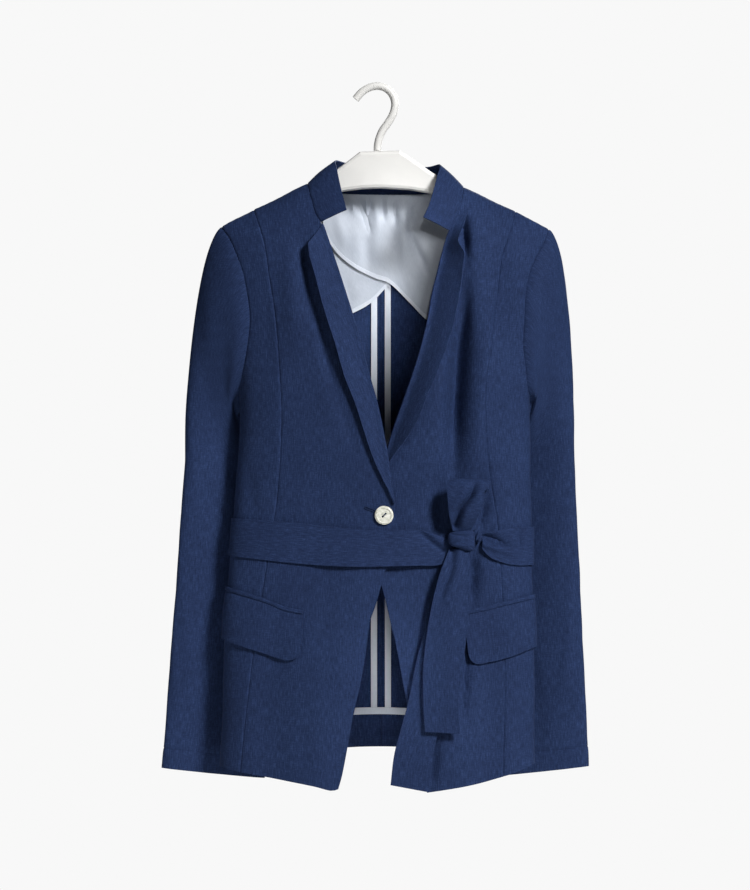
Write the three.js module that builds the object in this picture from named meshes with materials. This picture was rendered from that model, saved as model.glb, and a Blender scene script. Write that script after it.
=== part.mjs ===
// A woman's linen blazer with a tied waist belt, hanging on a white hanger.
// Millimetres. +Z is up, the front of the blazer faces -Y, and +X is the viewer's right.
// The origin is the highest point inside the hook, where a rail carries the hanger.
import * as THREE from 'three';

// Driving sizes
const wall = 1.6; // folded linen with its interfacing
const seamGap = 0.36; // between neighbouring pieces
const sideY = -4; // where the front half meets the back half, at the sides
const frontBend = 2.4; // roundness of the front half in plan, 2 is an ellipse
const backBend = 1.8; // roundness of the back half in plan
const shoulderRoll = 58; // height over which cloth rounds over the shoulder line
const hemFrom = -750; // folds that end lower than this run out through the hem
const sideSeam = 97; // degrees round from the front centre, just behind the side
const backSeamX = 2.5; // the centre-back seam
const lap = 4.2; // how far the buttoned front stands off the one under it
const beltWall = 2; // the belt is folded double
const tapeWall = 1;
const hookRadius = 4.4;
const hangerDepth = 16;
const hangerEdge = 4; // bevel round the hanger's faces
const buttonWidth = 21.4;
const degrees = Math.PI / 180;

// Colours, roughness and metalness
const linen = { color: 0x24335a, roughness: 0.85, metalness: 0 };
const satin = { color: 0xa9b3c2, roughness: 0.45, metalness: 0 };
const tape = { color: 0xc4cad4, roughness: 0.5, metalness: 0 };
const whitePlastic = { color: 0xf4f3f0, roughness: 0.4, metalness: 0 };
const shell = { color: 0xe2e2d8, roughness: 0.25, metalness: 0 };

// Girth of the coat. Columns: height, left side x, right side x, depth of the front half, depth of the back half
const girth = [
  [-820, -184, 180, 52, 48],
  [-779, -183, 179.5, 51, 48],
  [-703, -180, 178.5, 49, 46],
  [-634, -178, 178, 47, 44],
  [-588, -175.5, 177.5, 44, 42],
  [-549, -172, 175.5, 41, 40],
  [-490, -167, 175.5, 40, 39],
  [-450, -164, 174.5, 43, 41],
  [-404, -161, 174, 47, 44],
  [-358, -160, 173, 50, 47],
  [-300, -164, 178, 50, 48],
  [-250, -169.5, 183, 48, 46],
  [-200, -176, 191, 44, 42],
  [-163, -183, 198, 40, 37],
  [-100, -188, 203, 34, 32],
];

// The shoulder line seen from the front. Columns: x, height
const shoulder = [
  [-200, -168],
  [-183, -159.5],
  [-168, -151],
  [-145, -139.5],
  [-121, -128],
  [-101, -117.5],
  [-83, -108.7],
  [-30, -84],
  [40, -86],
  [98, -113.3],
  [116, -121.3],
  [139, -132.3],
  [162, -143.2],
  [185, -155.3],
  [195.5, -161],
  [212, -170],
];

// The largest folds. Columns: x and height of the upper end, x and height of the lower end, half width, rise.
// A rise under 0 is a trough
const frontFolds = [
  [113, -135, 106, -310, 14, 4],
  [-106, -150, -92, -330, 16, 3],
  [58, -560, 92, -806, 26, 5],
  [124, -555, 130, -800, 20, -4],
  [-62, -560, -74, -806, 26, 4],
  [-116, -555, -128, -800, 18, -3.5],
];
const backFolds = [
  [-72, -535, -98, -780, 28, 5],
  [64, -535, 84, -780, 28, 5],
  [0, -530, -4, -780, 20, -3],
  [-92, -180, -58, -440, 24, 3.5],
  [98, -180, 70, -440, 24, 3.5],
];

// Edges of the panels. Columns: height, x
const princessLeft = [
  [-790, -159.5],
  [-732, -154],
  [-680, -148],
  [-620, -140],
  [-562, -131],
  [-500, -121],
  [-450, -115],
  [-392, -112],
  [-346, -112.5],
  [-300, -115.5],
  [-257, -119.5],
  [-220, -125.5],
  [-178, -132],
  [-139, -144],
];
const princessRight = [
  [-790, 142.5],
  [-663, 144],
  [-588, 141.5],
  [-540, 139],
  [-496, 135.5],
  [-448, 127.5],
  [-392, 122],
  [-358, 121],
  [-329, 122.5],
  [-300, 127.5],
  [-268, 131],
  [-243, 135],
  [-214, 138],
  [-191, 141.5],
  [-168, 149.5],
  [-140, 157.5],
];
const frontEdgeLeft = [
  [-804, -47],
  [-784, -41.5],
  [-722, -30],
  [-674, -19.5],
  [-646, -15],
  [-611, -10],
  [-592, -3.5],
  [-560, 5.5],
  [-525, 17],
  [-502, 20.7],
  [-480, 18.5],
  [-462, 13],
  [-425, 9],
  [-364, -3],
  [-330, -12.5],
  [-287, -24],
  [-240, -38],
  [-194, -53],
  [-156, -66],
  [-146, -72.3],
  [-130.5, -77],
  [-117, -80.5],
  [-108, -83],
];
const frontEdgeRight = [
  [-807, 55],
  [-696, 30],
  [-663, 24],
  [-634, 18.5],
  [-611, 12.7],
  [-586, 7],
  [-549, -2],
  [-490, -7],
  [-460, -3],
  [-421, 9],
  [-387, 19.5],
  [-358, 30],
  [-312, 45.5],
  [-266, 57.5],
  [-239, 62],
  [-206, 70],
  [-178, 77],
  [-165, 81],
  [-149, 88.6],
  [-137, 93],
  [-122.5, 96.6],
  [-112, 98],
];
const armholeFrontLeft = [
  [-372, -160.2],
  [-341, -158.7],
  [-309, -153],
  [-272, -148.4],
  [-249, -149.5],
  [-214, -156],
  [-193, -163],
  [-170, -173.5],
  [-160, -181],
];
const armholeFrontRight = [
  [-372, 172.5],
  [-330, 169.5],
  [-295, 165.6],
  [-264, 167],
  [-237, 168],
  [-214, 172.5],
  [-195, 180.5],
  [-178, 190],
  [-161, 196],
];
const armholeBackLeft = [
  [-372, -160.2],
  [-341, -156.5],
  [-309, -151],
  [-272, -149],
  [-240, -152],
  [-210, -158.5],
  [-185, -167],
  [-160, -181],
];
const armholeBackRight = [
  [-372, 172.5],
  [-341, 168],
  [-309, 163.5],
  [-272, 163],
  [-240, 167],
  [-210, 173.5],
  [-185, 182.5],
  [-161, 196],
];
const lapelEdgeLeft = [
  [-478, 18.8],
  [-426, -6],
  [-364, -26.5],
  [-332, -39],
  [-295, -49.5],
  [-256, -62],
  [-214, -73.5],
  [-189, -80],
  [-150, -80],
];
const lapelEdgeRight = [
  [-478, -4.5],
  [-430, 12],
  [-404, 30],
  [-378, 45],
  [-352, 55],
  [-324, 66.5],
  [-295, 77],
  [-268, 85],
  [-235, 93.5],
  [-195, 99],
  [-160, 99],
];

// Lower and upper edges. Columns: x, height
const hemLeft = [
  [-190, -778],
  [-171, -782.5],
  [-148, -786.5],
  [-114, -792],
  [-74, -799],
  [-54, -804],
  [-46, -802],
];
const hemRight = [
  [54, -806.5],
  [70, -804],
  [116, -796],
  [151, -787],
  [186, -774],
];
const hemBack = [
  [-190, -780],
  [-120, -771],
  [-60, -765],
  [0, -762],
  [60, -765],
  [120, -770],
  [190, -777],
];
const neckBack = [
  [-83.5, -109],
  [-60, -116],
  [-30, -119],
  [35, -119.5],
  [70, -118],
  [98.5, -113.5],
];
const liningEdgeUpper = [
  [-72, -148],
  [-53, -181],
  [-31, -201],
  [-5, -214.5],
  [13, -221],
  [36, -243],
  [56, -263],
  [100, -290],
  [165, -306],
];
const liningEdgeLower = [
  [-150, -300],
  [-90, -284],
  [-33, -256.5],
  [-9, -243],
  [13, -221],
  [45, -196],
  [78, -152],
];

// Top edge of the collar. Columns: place round the neck, x, y, height.
// The neck runs from 0 at the left front to 1 and 2 at the neck points and 3 at the right front
const collarTop = [
  [0, -37, -50, -141.5],
  [0.35, -41.5, -45, -125],
  [0.65, -45, -36, -110],
  [0.88, -48.5, -22, -92],
  [1, -50, -5, -82],
  [1.15, -38, 20, -82.5],
  [1.3, -20, 31, -84],
  [1.5, 8, 36, -86],
  [1.7, 38, 31, -87],
  [1.85, 58, 19, -87],
  [2, 70, -5, -87],
  [2.15, 67, -22, -100],
  [2.4, 62, -35, -119],
  [2.7, 57.5, -44, -134],
  [3, 50.5, -50, -150],
];

// Sleeves. Columns: height at the outer edge, outer x, outer y, inner x, inner y, half thickness, drop to the inner edge
const sleeveLeftRows = [
  [-778, -250.5, 20, -132.5, 44, 11, 14],
  [-726, -246.5, 18, -129, 47, 12.5, 10],
  [-634, -239.5, 14, -121, 52, 14.5, 4],
  [-542, -232, 11, -113, 58, 16.5, 2],
  [-484, -228, 9, -108, 61, 18, 0],
  [-428, -223.5, 7, -103, 63, 19, 0],
];
const sleeveRightRows = [
  [-777, 242, 20, 132.5, 44, 11, 14],
  [-726, 240.5, 18, 130, 47, 12.5, 10],
  [-634, 235.5, 15, 124, 53, 14.5, 4],
  [-542, 231, 13, 116, 60, 16.5, 2],
  [-484, 228, 12, 111, 63, 18, 0],
  [-428, 225.5, 10, 106, 66, 19, 0],
];

// Belt. Columns: x, lower edge, upper edge
const beltFrontRows = [
  [-175, -537, -494],
  [-130, -542, -496.5],
  [-90, -546, -499.5],
  [-40, -549, -505],
  [5, -549, -508],
  [45, -548, -507],
  [62, -544, -512],
  [82.3, -529.5, -517.5],
];
const beltSideRows = [
  [117, -529, -512],
  [124, -537, -510],
  [135, -543, -508],
  [155, -548, -505],
  [182, -548, -504],
];
const beltBackRows = [
  [-180, -537, -495],
  [-90, -541, -498],
  [0, -543, -500],
  [90, -545, -502],
  [182, -548, -505],
];

// Pocket flaps and welts. Columns: x, lower edge, upper edge
const flapLeftRows = [
  [-181, -633, -576],
  [-160, -642, -582],
  [-131, -651.5, -590.5],
  [-107, -658, -600],
  [-97, -656, -602.3],
  [-91, -648, -603.3],
  [-88, -632, -603.8],
];
const flapRightRows = [
  [101, -640, -608],
  [104, -659, -607.5],
  [111, -664.5, -605.5],
  [124, -662.4, -601.8],
  [139, -659.5, -597.4],
  [156, -654, -593],
  [181, -642, -587],
];
const welt = 4.6; // height of the welt over the flap

// Tails of the bow. Columns: height, left x, right x, y of the middle
const frontTailRows = [
  [-742, 52, 92, -67],
  [-703, 50, 90, -66.5],
  [-657, 50.5, 96, -65],
  [-602, 58, 102, -63],
  [-560, 68, 103, -60],
  [-528.8, 80, 104, -51.2],
];
const secondTailRows = [
  [-801, 13, 56, -61.5],
  [-760, 18, 62, -61],
  [-703, 33, 74, -60.5],
  [-650, 44, 82, -58.5],
  [-600, 60, 94, -55.5],
  [-560, 74, 98, -52],
  [-529, 84, 102, -48.2],
];
// Loop of the bow. Columns: share of the way out from the knot and back, height, left x, right x, y
const loopRows = [
  [0, -508, 84, 107, -55],
  [0.2, -490, 80, 118, -64],
  [0.38, -462, 77.5, 124, -68],
  [0.47, -451, 79, 125, -65],
  [0.5, -449, 80, 125, -60],
  [0.53, -451, 80, 125, -55],
  [0.62, -464, 79, 124, -51],
  [0.8, -490, 81, 117, -49.5],
  [1, -507, 85, 106, -49],
];
// Lumps of the tied knot. Columns: x, y and height of the middle, half width, half depth, half height
const knotLumps = {
  belt_knot: [94, -50.3, -518, 14.5, 8.6, 10.8],
  belt_knot_fold: [112.1, -44.3, -514.4, 5.6, 5, 6.8],
};

// Hook. Columns: x, height of its middle line
const hookLine = [
  [-27, -10.5],
  [-19, -1.8],
  [-9.5, 3.3],
  [0, 4.4],
  [8, 1.8],
  [14, -3.5],
  [17.5, -10.5],
  [18.3, -19],
  [15.5, -29.3],
  [10, -38.5],
  [4, -47],
  [0.2, -56],
  [-1.5, -64],
  [-1.8, -70.3],
];
// The hanger between the shoulders. Columns: x, height
const hangerTop = [
  [-62, -99.5],
  [-48, -91.4],
  [-34, -81],
  [-22, -71.6],
  [24, -70.3],
  [36, -78],
  [47, -85.7],
  [59, -94],
  [75, -103.5],
];
const hangerUnder = [
  [-160, -172],
  [-110, -145],
  [-70, -125],
  [-40, -117],
  [-20, -114.5],
  [2, -113.5],
  [36, -115.6],
  [62, -120],
  [84, -129],
  [125, -149],
  [172, -174],
];

const mix = THREE.MathUtils.lerp;
const soft = THREE.MathUtils.smoothstep;

// Smooth values between the rows of a table whose first column rises
function read(rows, key, column = 1) {
  let i = 0;
  while (i < rows.length - 2 && key > rows[i + 1][0]) i++;
  const slope = (k) => {
    const low = rows[Math.max(k - 1, 0)];
    const high = rows[Math.min(k + 1, rows.length - 1)];
    return (high[column] - low[column]) / (high[0] - low[0]);
  };
  const [a, b] = [rows[i], rows[i + 1]];
  const span = b[0] - a[0];
  const t = THREE.MathUtils.clamp((key - a[0]) / span, 0, 1);
  const u = 1 - t;
  return (
    a[column] * u * u * (1 + 2 * t) +
    b[column] * t * t * (3 - 2 * t) +
    slope(i) * span * t * u * u -
    slope(i + 1) * span * t * t * u
  );
}

// How far the cloth has rounded over, from 0 on the shoulder line to 1 a little under it
function rollOver(x, z) {
  const drop = THREE.MathUtils.clamp((read(shoulder, x) - z) / shoulderRoll, 0, 1);
  return Math.sqrt(1 - (1 - drop) ** 2);
}

// How far the folds lift the cloth at a place
function foldRise(folds, x, z) {
  let rise = 0;
  for (const [highX, high, lowX, low, wide, tall] of folds) {
    const share = (high - z) / (high - low);
    if (share > 0 && (share < 1 || low < hemFrom)) {
      const away = (x - mix(highX, lowX, share)) / wide;
      const ends = soft(share, 0, 0.45) * (low < hemFrom ? 1 : 1 - soft(share, 0.6, 1));
      rise += tall * Math.exp(-away * away) * ends;
    }
  }
  return rise;
}

// A point of the coat at a height and at an angle round it: 0 is the front, 90 the right side and 180 the back
function coat(angle, z) {
  const left = read(girth, z, 1);
  const right = read(girth, z, 2);
  const onFront = Math.abs(angle) <= 90;
  const power = 2 / (onFront ? frontBend : backBend);
  const across = Math.sin(angle * degrees);
  const x = (left + right) / 2 + ((right - left) / 2) * Math.sign(across) * Math.abs(across) ** power;
  const depth = read(girth, z, onFront ? 3 : 4) * Math.abs(Math.cos(angle * degrees)) ** power;
  const out = depth * rollOver(x, z) + foldRise(onFront ? frontFolds : backFolds, x, z);
  return new THREE.Vector3(x, sideY + (onFront ? -out : out), z);
}

// The angle round the coat of a point given by x and height
function angleAt(x, z, onBack = false) {
  const left = read(girth, z, 1);
  const right = read(girth, z, 2);
  const across = THREE.MathUtils.clamp((2 * x - left - right) / (right - left), -0.9999, 0.9999);
  const bend = onBack ? backBend : frontBend;
  const angle = Math.asin(Math.abs(across) ** (bend / 2)) / degrees;
  return Math.sign(across) * (onBack ? 180 - angle : angle);
}

// The way round the coat, for each degree, on a line that keeps its distance from the shoulder line
function wayRound(angle, z) {
  const step = 0.05;
  const x = coat(angle, z).x;
  const slope = read(shoulder, x + 0.5) - read(shoulder, x - 0.5);
  const near = z + slope * (coat(angle - step, z).x - x);
  const far = z + slope * (coat(angle + step, z).x - x);
  return coat(angle + step, far).sub(coat(angle - step, near)).divideScalar(2 * step);
}

// The way out of the cloth at a point of the coat
function outwards(angle, z) {
  const up = coat(angle, z).sub(coat(angle, z - 0.02));
  return wayRound(angle, z).cross(up).normalize();
}

// The angle a few tenths of a millimetre further round
function along(angle, z, distance) {
  return angle + distance / wayRound(angle, z).length();
}

function finish(name, look, geometry) {
  const mesh = new THREE.Mesh(geometry, new THREE.MeshStandardMaterial(look));
  mesh.name = name;
  return mesh;
}

// A closed sheet of cloth from a function of two shares, across and up, that gives a point and its way out
function sheet(name, look, columns, rows, thickness, place, spacing = (v) => v) {
  const positions = [];
  const index = [];
  const layer = (columns + 1) * (rows + 1);
  for (const side of [0.5, -0.5]) {
    for (let j = 0; j <= rows; j++) {
      for (let i = 0; i <= columns; i++) {
        const { point, out } = place(i / columns, spacing(j / rows));
        positions.push(...point.clone().addScaledVector(out, side * thickness).toArray());
      }
    }
  }
  const at = (i, j, inner) => j * (columns + 1) + i + (inner ? layer : 0);
  const quad = (a, b, c, d) => index.push(a, b, c, a, c, d);
  const spot = (k) => new THREE.Vector3().fromArray(positions, 3 * k);
  const apart = (a, b) => spot(a).distanceTo(spot(b));
  for (let j = 0; j < rows; j++) {
    for (let i = 0; i < columns; i++) {
      // Each cell is cut along its shorter diagonal
      const rising = apart(at(i, j), at(i + 1, j + 1)) <= 1.02 * apart(at(i + 1, j), at(i, j + 1));
      const corners = [at(i, j), at(i + 1, j), at(i + 1, j + 1), at(i, j + 1)];
      if (!rising) corners.push(corners.shift());
      const [a, b, c, d] = corners;
      quad(a, b, c, d);
      quad(a + layer, d + layer, c + layer, b + layer);
    }
  }
  for (let i = 0; i < columns; i++) {
    quad(at(i, 0, true), at(i + 1, 0, true), at(i + 1, 0), at(i, 0));
    quad(at(i, rows), at(i + 1, rows), at(i + 1, rows, true), at(i, rows, true));
  }
  for (let j = 0; j < rows; j++) {
    quad(at(0, j, true), at(0, j), at(0, j + 1), at(0, j + 1, true));
    quad(at(columns, j), at(columns, j, true), at(columns, j + 1, true), at(columns, j + 1));
  }
  const geometry = new THREE.BufferGeometry();
  geometry.setAttribute('position', new THREE.Float32BufferAttribute(positions, 3));
  geometry.setIndex(index);
  geometry.computeVertexNormals();
  return finish(name, look, geometry);
}

// The height at which a line round the coat, at an angle, meets an edge given over x
function meet(edge, angle) {
  let z = edge(coat(angle, -400).x, angle);
  for (let k = 0; k < 6; k++) z = edge(coat(angle, z).x, angle);
  return z;
}

// A panel between two upright edges, given as angles over height, and two edges given as heights over x
function panel(name, look, columns, rows, shape) {
  const { start, end, low, high, lift = () => 0, thickness = wall, spacing } = shape;
  const corner = (side, edge) => {
    let z = edge(coat(side(-400), -400).x, side(-400));
    for (let k = 0; k < 12; k++) z = edge(coat(side(z), z).x, side(z));
    return z;
  };
  const [startLow, startHigh] = [corner(start, low), corner(start, high)];
  const [endLow, endHigh] = [corner(end, low), corner(end, high)];
  const place = (s, t) => {
    const angle = mix(start(mix(startLow, startHigh, t)), end(mix(endLow, endHigh, t)), s);
    const zLow = meet(low, mix(start(startLow), end(endLow), s));
    const zHigh = meet(high, mix(start(startHigh), end(endHigh), s));
    const z = mix(zLow, zHigh, t);
    const out = outwards(angle, z);
    const point = coat(angle, z);
    return { point: point.addScaledVector(out, lift(point, s, t)), out };
  };
  return sheet(name, look, columns, rows, thickness, place, spacing);
}

// Rows lie closer together towards the shoulder
const closerUp = (v) => 1 - (1 - v) ** 2.1;

// Edges shared by neighbouring panels, each half a seam gap to its own side
const edgeAngle = (rows, shift, onBack = false) => (z) =>
  along(angleAt(read(rows, z), z, onBack), z, shift);

// Height of the shoulder seam for a front or back panel, half a gap from the ridge
function shoulderTop(x, angle) {
  const z = read(shoulder, x);
  const onFront = Math.abs(angle) <= 90;
  const power = 2 / (onFront ? frontBend : backBend);
  const depth = read(girth, z, onFront ? 3 : 4) * Math.abs(Math.cos(angle * degrees)) ** power;
  return z - (shoulderRoll / 2) * (seamGap / Math.max(depth, 1)) ** 2;
}

// The side edge of a side front or a back: the armhole above the underarm and the side seam below it
const underarm = -372;
function sideEdge(armhole, side, onBack) {
  const shift = (side * seamGap * (onBack ? 1 : -1)) / 2;
  return (z) => {
    if (z <= underarm) return along(side * sideSeam, z, shift);
    const onArmhole = angleAt(read(armhole, z), z, onBack);
    const share = soft(z, underarm, underarm + 30);
    return mix(along(side * sideSeam, z, shift), onArmhole, share);
  };
}

// The buttoned front lies over the other one and over its lapel
function lapLift(point) {
  const across = soft(point.x, -75, -15);
  return lap * across * soft(point.z, -640, -560) * (1 - soft(point.z, -430, -330));
}

function frontLeft() {
  return panel('front_left', linen, 8, 27, {
    start: edgeAngle(princessLeft, seamGap / 2),
    end: edgeAngle(frontEdgeLeft, 0),
    low: (x) => read(hemLeft, x),
    high: shoulderTop,
    lift: lapLift,
    spacing: closerUp,
  });
}

function frontRight() {
  return panel('front_right', linen, 8, 27, {
    start: edgeAngle(frontEdgeRight, 0),
    end: edgeAngle(princessRight, -seamGap / 2),
    low: (x) => read(hemRight, x),
    high: shoulderTop,
    spacing: closerUp,
  });
}

function sideFrontLeft() {
  return panel('side_front_left', linen, 6, 27, {
    start: sideEdge(armholeFrontLeft, -1, false),
    end: edgeAngle(princessLeft, -seamGap / 2),
    low: (x) => read(hemLeft, x),
    high: shoulderTop,
    spacing: closerUp,
  });
}

function sideFrontRight() {
  return panel('side_front_right', linen, 6, 27, {
    start: edgeAngle(princessRight, seamGap / 2),
    end: sideEdge(armholeFrontRight, 1, false),
    low: (x) => read(hemRight, x),
    high: shoulderTop,
    spacing: closerUp,
  });
}

// The upper edge of a back: the shoulder seam, and the back neckline between the neck points
function backTop(x, angle) {
  const onShoulder = x < neckBack[0][0] || x > neckBack.at(-1)[0];
  return onShoulder ? shoulderTop(x, angle) : read(neckBack, x);
}

// The angle of a place on the back, on from 90 over its centre to 270
function backAngle(x, z) {
  const angle = angleAt(x, z, true);
  return angle < 0 ? angle + 360 : angle;
}

const backCentre = (side) => (z) =>
  along(backAngle(backSeamX, z) - (side < 0 ? 360 : 0), z, (-side * seamGap) / 2);

function backRight() {
  return panel('back_right', linen, 10, 27, {
    start: sideEdge(armholeBackRight, 1, true),
    end: backCentre(1),
    low: (x) => read(hemBack, x),
    high: backTop,
    spacing: closerUp,
  });
}

function backLeft() {
  return panel('back_left', linen, 10, 27, {
    start: backCentre(-1),
    end: sideEdge(armholeBackLeft, -1, true),
    low: (x) => read(hemBack, x),
    high: backTop,
    spacing: closerUp,
  });
}

// A sheet given by a function of two shares that gives only its points
function freely(surface) {
  const step = 1e-3;
  return (s, t) => {
    const across = surface(Math.min(s + step, 1), t).sub(surface(Math.max(s - step, 0), t));
    const up = surface(s, Math.min(t + step, 1)).sub(surface(s, Math.max(t - step, 0)));
    return { point: surface(s, t), out: across.cross(up).normalize() };
  };
}

// Where the stand collar is sewn on: a point of the neckline, its place running from 0 to 3
function neckline(place) {
  const part = Math.min(Math.floor(place), 2);
  const share = place - part;
  if (part === 1) {
    const x = mix(-83, 98, (1 - Math.cos(share * Math.PI)) / 2);
    const z = read(neckBack, x);
    return coat(angleAt(x, z, true), z);
  }
  const edge = part === 0 ? frontEdgeLeft : frontEdgeRight;
  const z = part === 0 ? mix(-155, -108.8, share) : mix(-113.3, -165, share);
  return coat(angleAt(read(edge, z), z), z);
}

function collar() {
  const footGap = 1.3;
  const surface = (s, t) => {
    const place = 3 * (1 - s);
    const foot = neckline(place);
    const top = new THREE.Vector3(
      read(collarTop, place, 1),
      read(collarTop, place, 2),
      read(collarTop, place, 3),
    );
    const rise = top.clone().sub(foot);
    foot.addScaledVector(rise.clone().normalize(), footGap);
    return foot.lerp(top, t);
  };
  return sheet('collar', linen, 34, 4, wall + 0.4, freely(surface));
}

// The lapels lie on the fronts, from the roll line to their own free edge
const onPanel = wall + seamGap;
function lapelLeft() {
  const corner = { x: -80, z: -180 };
  const slope = 1.45;
  return panel('lapel_left', linen, 3, 18, {
    start: edgeAngle(lapelEdgeLeft, 0),
    end: edgeAngle(frontEdgeLeft, 0.6),
    low: () => -464,
    high: (x) => corner.z + slope * (x - corner.x),
    lift: (point, s) => lapLift(point) + onPanel + 2 * (1 - s),
  });
}

function lapelRight() {
  const corner = { x: 99, z: -190 };
  const slope = -1.05;
  return panel('lapel_right', linen, 3, 18, {
    start: edgeAngle(frontEdgeRight, -0.6),
    end: edgeAngle(lapelEdgeRight, 0),
    low: () => -436,
    high: (x) => corner.z + slope * (x - corner.x),
    lift: (point, s) => onPanel + 2 * s * soft(point.z, -430, -370),
  });
}

// One ring of a sleeve: turn 0 is its outer edge, 90 the front, 180 the inner edge and 270 the back
function sleeveRing(rows, z, turn) {
  const outer = new THREE.Vector2(read(rows, z, 1), read(rows, z, 2));
  const inner = new THREE.Vector2(read(rows, z, 3), read(rows, z, 4));
  const reach = outer.clone().sub(inner).multiplyScalar(0.5);
  const front = new THREE.Vector2(reach.y, -reach.x).normalize();
  if (front.y > 0) front.negate();
  const across = Math.cos(turn * degrees);
  const point = outer.add(inner).multiplyScalar(0.5);
  point.addScaledVector(reach, across);
  point.addScaledVector(front, read(rows, z, 5) * Math.sin(turn * degrees));
  return new THREE.Vector3(point.x, point.y, z - (read(rows, z, 6) * (1 - across)) / 2);
}

const capShare = 0.48; // of a sleeve's rows, from the armhole to its first full ring
const underarmTurn = 105; // the part of the ring that hangs from the underarm

// A point of a sleeve: round is 0 at the shoulder, 0.5 at the underarm, and up goes from the cuff to the armhole
function sleevePoint(side, rows, armholeFront, armholeBack, round, up) {
  const share = ((round % 1) + 1) % 1;
  const turn =
    share <= 0.5 ? (share / 0.5) * underarmTurn : mix(underarmTurn, 360, (share - 0.5) / 0.5);
  const [cuff, full] = [rows[0][0], rows.at(-1)[0]];
  if (up <= 1 - capShare) return sleeveRing(rows, mix(cuff, full, up / (1 - capShare)), turn);
  const onBack = share > 0.5;
  const edge = sideEdge(onBack ? armholeBack : armholeFront, side, onBack);
  const top = read(shoulder, (onBack ? armholeBack : armholeFront).at(-1)[1]) - 0.5;
  const fall = 1 - Math.abs(1 - 2 * share);
  const z = mix(top, underarm, (1 - Math.cos(fall * Math.PI)) / 2);
  const start = coat(edge(z), z);
  const facing = Math.sin(share * 2 * Math.PI);
  const upwards = Math.cos(share * 2 * Math.PI);
  const outward = new THREE.Vector3(
    0.95 * side,
    -0.33 * Math.max(facing, 0) + 0.75 * Math.max(-facing, 0) + 0.25 * Math.max(-upwards, 0),
    -0.25 - 0.2 * upwards,
  ).normalize();
  const end = sleeveRing(rows, full, turn);
  const spread = 16 + 10 * Math.abs(facing) + 4 * Math.max(upwards, 0);
  start.addScaledVector(outward, 1.7);
  const leave = start.clone().addScaledVector(outward, spread);
  const arrive = end.clone();
  arrive.z += 0.52 * start.distanceTo(end);
  const t = (1 - up) / capShare;
  const u = 1 - t;
  return start
    .multiplyScalar(u * u * u)
    .addScaledVector(leave, 3 * u * u * t)
    .addScaledVector(arrive, 3 * u * t * t)
    .addScaledVector(end, t * t * t);
}

const innerSeam = 0.56; // places round the sleeve of its two seams
const outerSeam = 0.84;
const sleeveGap = 0.001;
function sleevePiece(name, side, columns, from, to) {
  const left = side < 0;
  const rows = left ? sleeveLeftRows : sleeveRightRows;
  const armholeFront = left ? armholeFrontLeft : armholeFrontRight;
  const armholeBack = left ? armholeBackLeft : armholeBackRight;
  const shoulderColumn = from < 0 ? Math.round((columns * -from) / (to - from)) / columns : 0;
  const surface = (s, t) => {
    const share = left ? s : 1 - s;
    const round =
      share < shoulderColumn
        ? mix(from, 0, share / shoulderColumn)
        : mix(Math.max(from, 0), to, (share - shoulderColumn) / (1 - shoulderColumn));
    return sleevePoint(side, rows, armholeFront, armholeBack, round, t);
  };
  return sheet(name, linen, columns, 17, wall, freely(surface));
}

function sleeves() {
  const pieces = [];
  for (const [word, side] of [['left', -1], ['right', 1]]) {
    pieces.push(
      sleevePiece(`upper_sleeve_${word}`, side, 15, outerSeam - 1 + sleeveGap, innerSeam - sleeveGap),
      sleevePiece(`under_sleeve_${word}`, side, 7, innerSeam + sleeveGap, outerSeam - sleeveGap),
    );
  }
  return pieces;
}

// Pockets: a flap, and the welt over it
function pocket(word, rows, start, end) {
  const flap = panel(`pocket_flap_${word}`, linen, 10, 3, {
    start,
    end,
    low: (x) => read(rows, x, 1),
    high: (x) => read(rows, x, 2),
    lift: (point, s, t) => onPanel + 1.6 * (1 - t),
  });
  const strip = panel(`pocket_welt_${word}`, linen, 10, 1, {
    start,
    end,
    low: (x) => read(rows, x, 2) + seamGap + 0.2,
    high: (x) => read(rows, x, 2) + welt,
    lift: () => onPanel,
  });
  return [flap, strip];
}

// The belt runs over the lapped fronts, and is gathered into the knot
const onBelt = wall / 2 + 1.3 * seamGap + beltWall / 2;
function beltLift(point) {
  return onBelt + lap * soft(point.x, -95, -25) * (1 - soft(point.x, 24, 62));
}

function belt() {
  const piece = (name, columns, rows, start, end, lift) =>
    panel(name, linen, columns, 3, {
      start,
      end,
      low: (x) => read(rows, x, 1),
      high: (x) => read(rows, x, 2),
      lift,
      thickness: beltWall,
    });
  const atX = (x) => (z) => angleAt(x, z);
  return [
    piece('belt_front', 20, beltFrontRows, (z) => along(-sideSeam, z, seamGap), atX(82.3), beltLift),
    piece('belt_side', 8, beltSideRows, atX(117), (z) => along(sideSeam, z, -seamGap), () => onBelt + seamGap),
    piece('belt_back', 20, beltBackRows, () => sideSeam, () => 360 - sideSeam, () => onBelt + seamGap),
  ];
}

function knots() {
  return Object.entries(knotLumps).map(([name, [x, y, z, wide, deep, high]]) => {
    const lump = new THREE.SphereGeometry(1, 14, 10);
    lump.scale(wide, deep, high);
    lump.translate(x, y, z);
    return finish(name, linen, lump);
  });
}

function tails() {
  const tail = (name, rows, count) => {
    const [low, high] = [rows[0][0], rows.at(-1)[0]];
    const surface = (s, t) => {
      const z = mix(low, high, t);
      const fold = 1.2 * Math.cos(s * 2 * Math.PI) * soft(z, low, high);
      return new THREE.Vector3(mix(read(rows, z, 1), read(rows, z, 2), s), read(rows, z, 3) + fold, z);
    };
    return sheet(name, linen, 4, count, wall, freely(surface));
  };
  return [tail('belt_tail_front', frontTailRows, 12), tail('belt_tail_behind', secondTailRows, 14)];
}

function bowLoop() {
  const surface = (s, t) =>
    new THREE.Vector3(
      mix(read(loopRows, t, 2), read(loopRows, t, 3), s),
      read(loopRows, t, 4),
      read(loopRows, t, 1),
    );
  return sheet('belt_loop', linen, 4, 20, wall, freely(surface));
}

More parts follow.
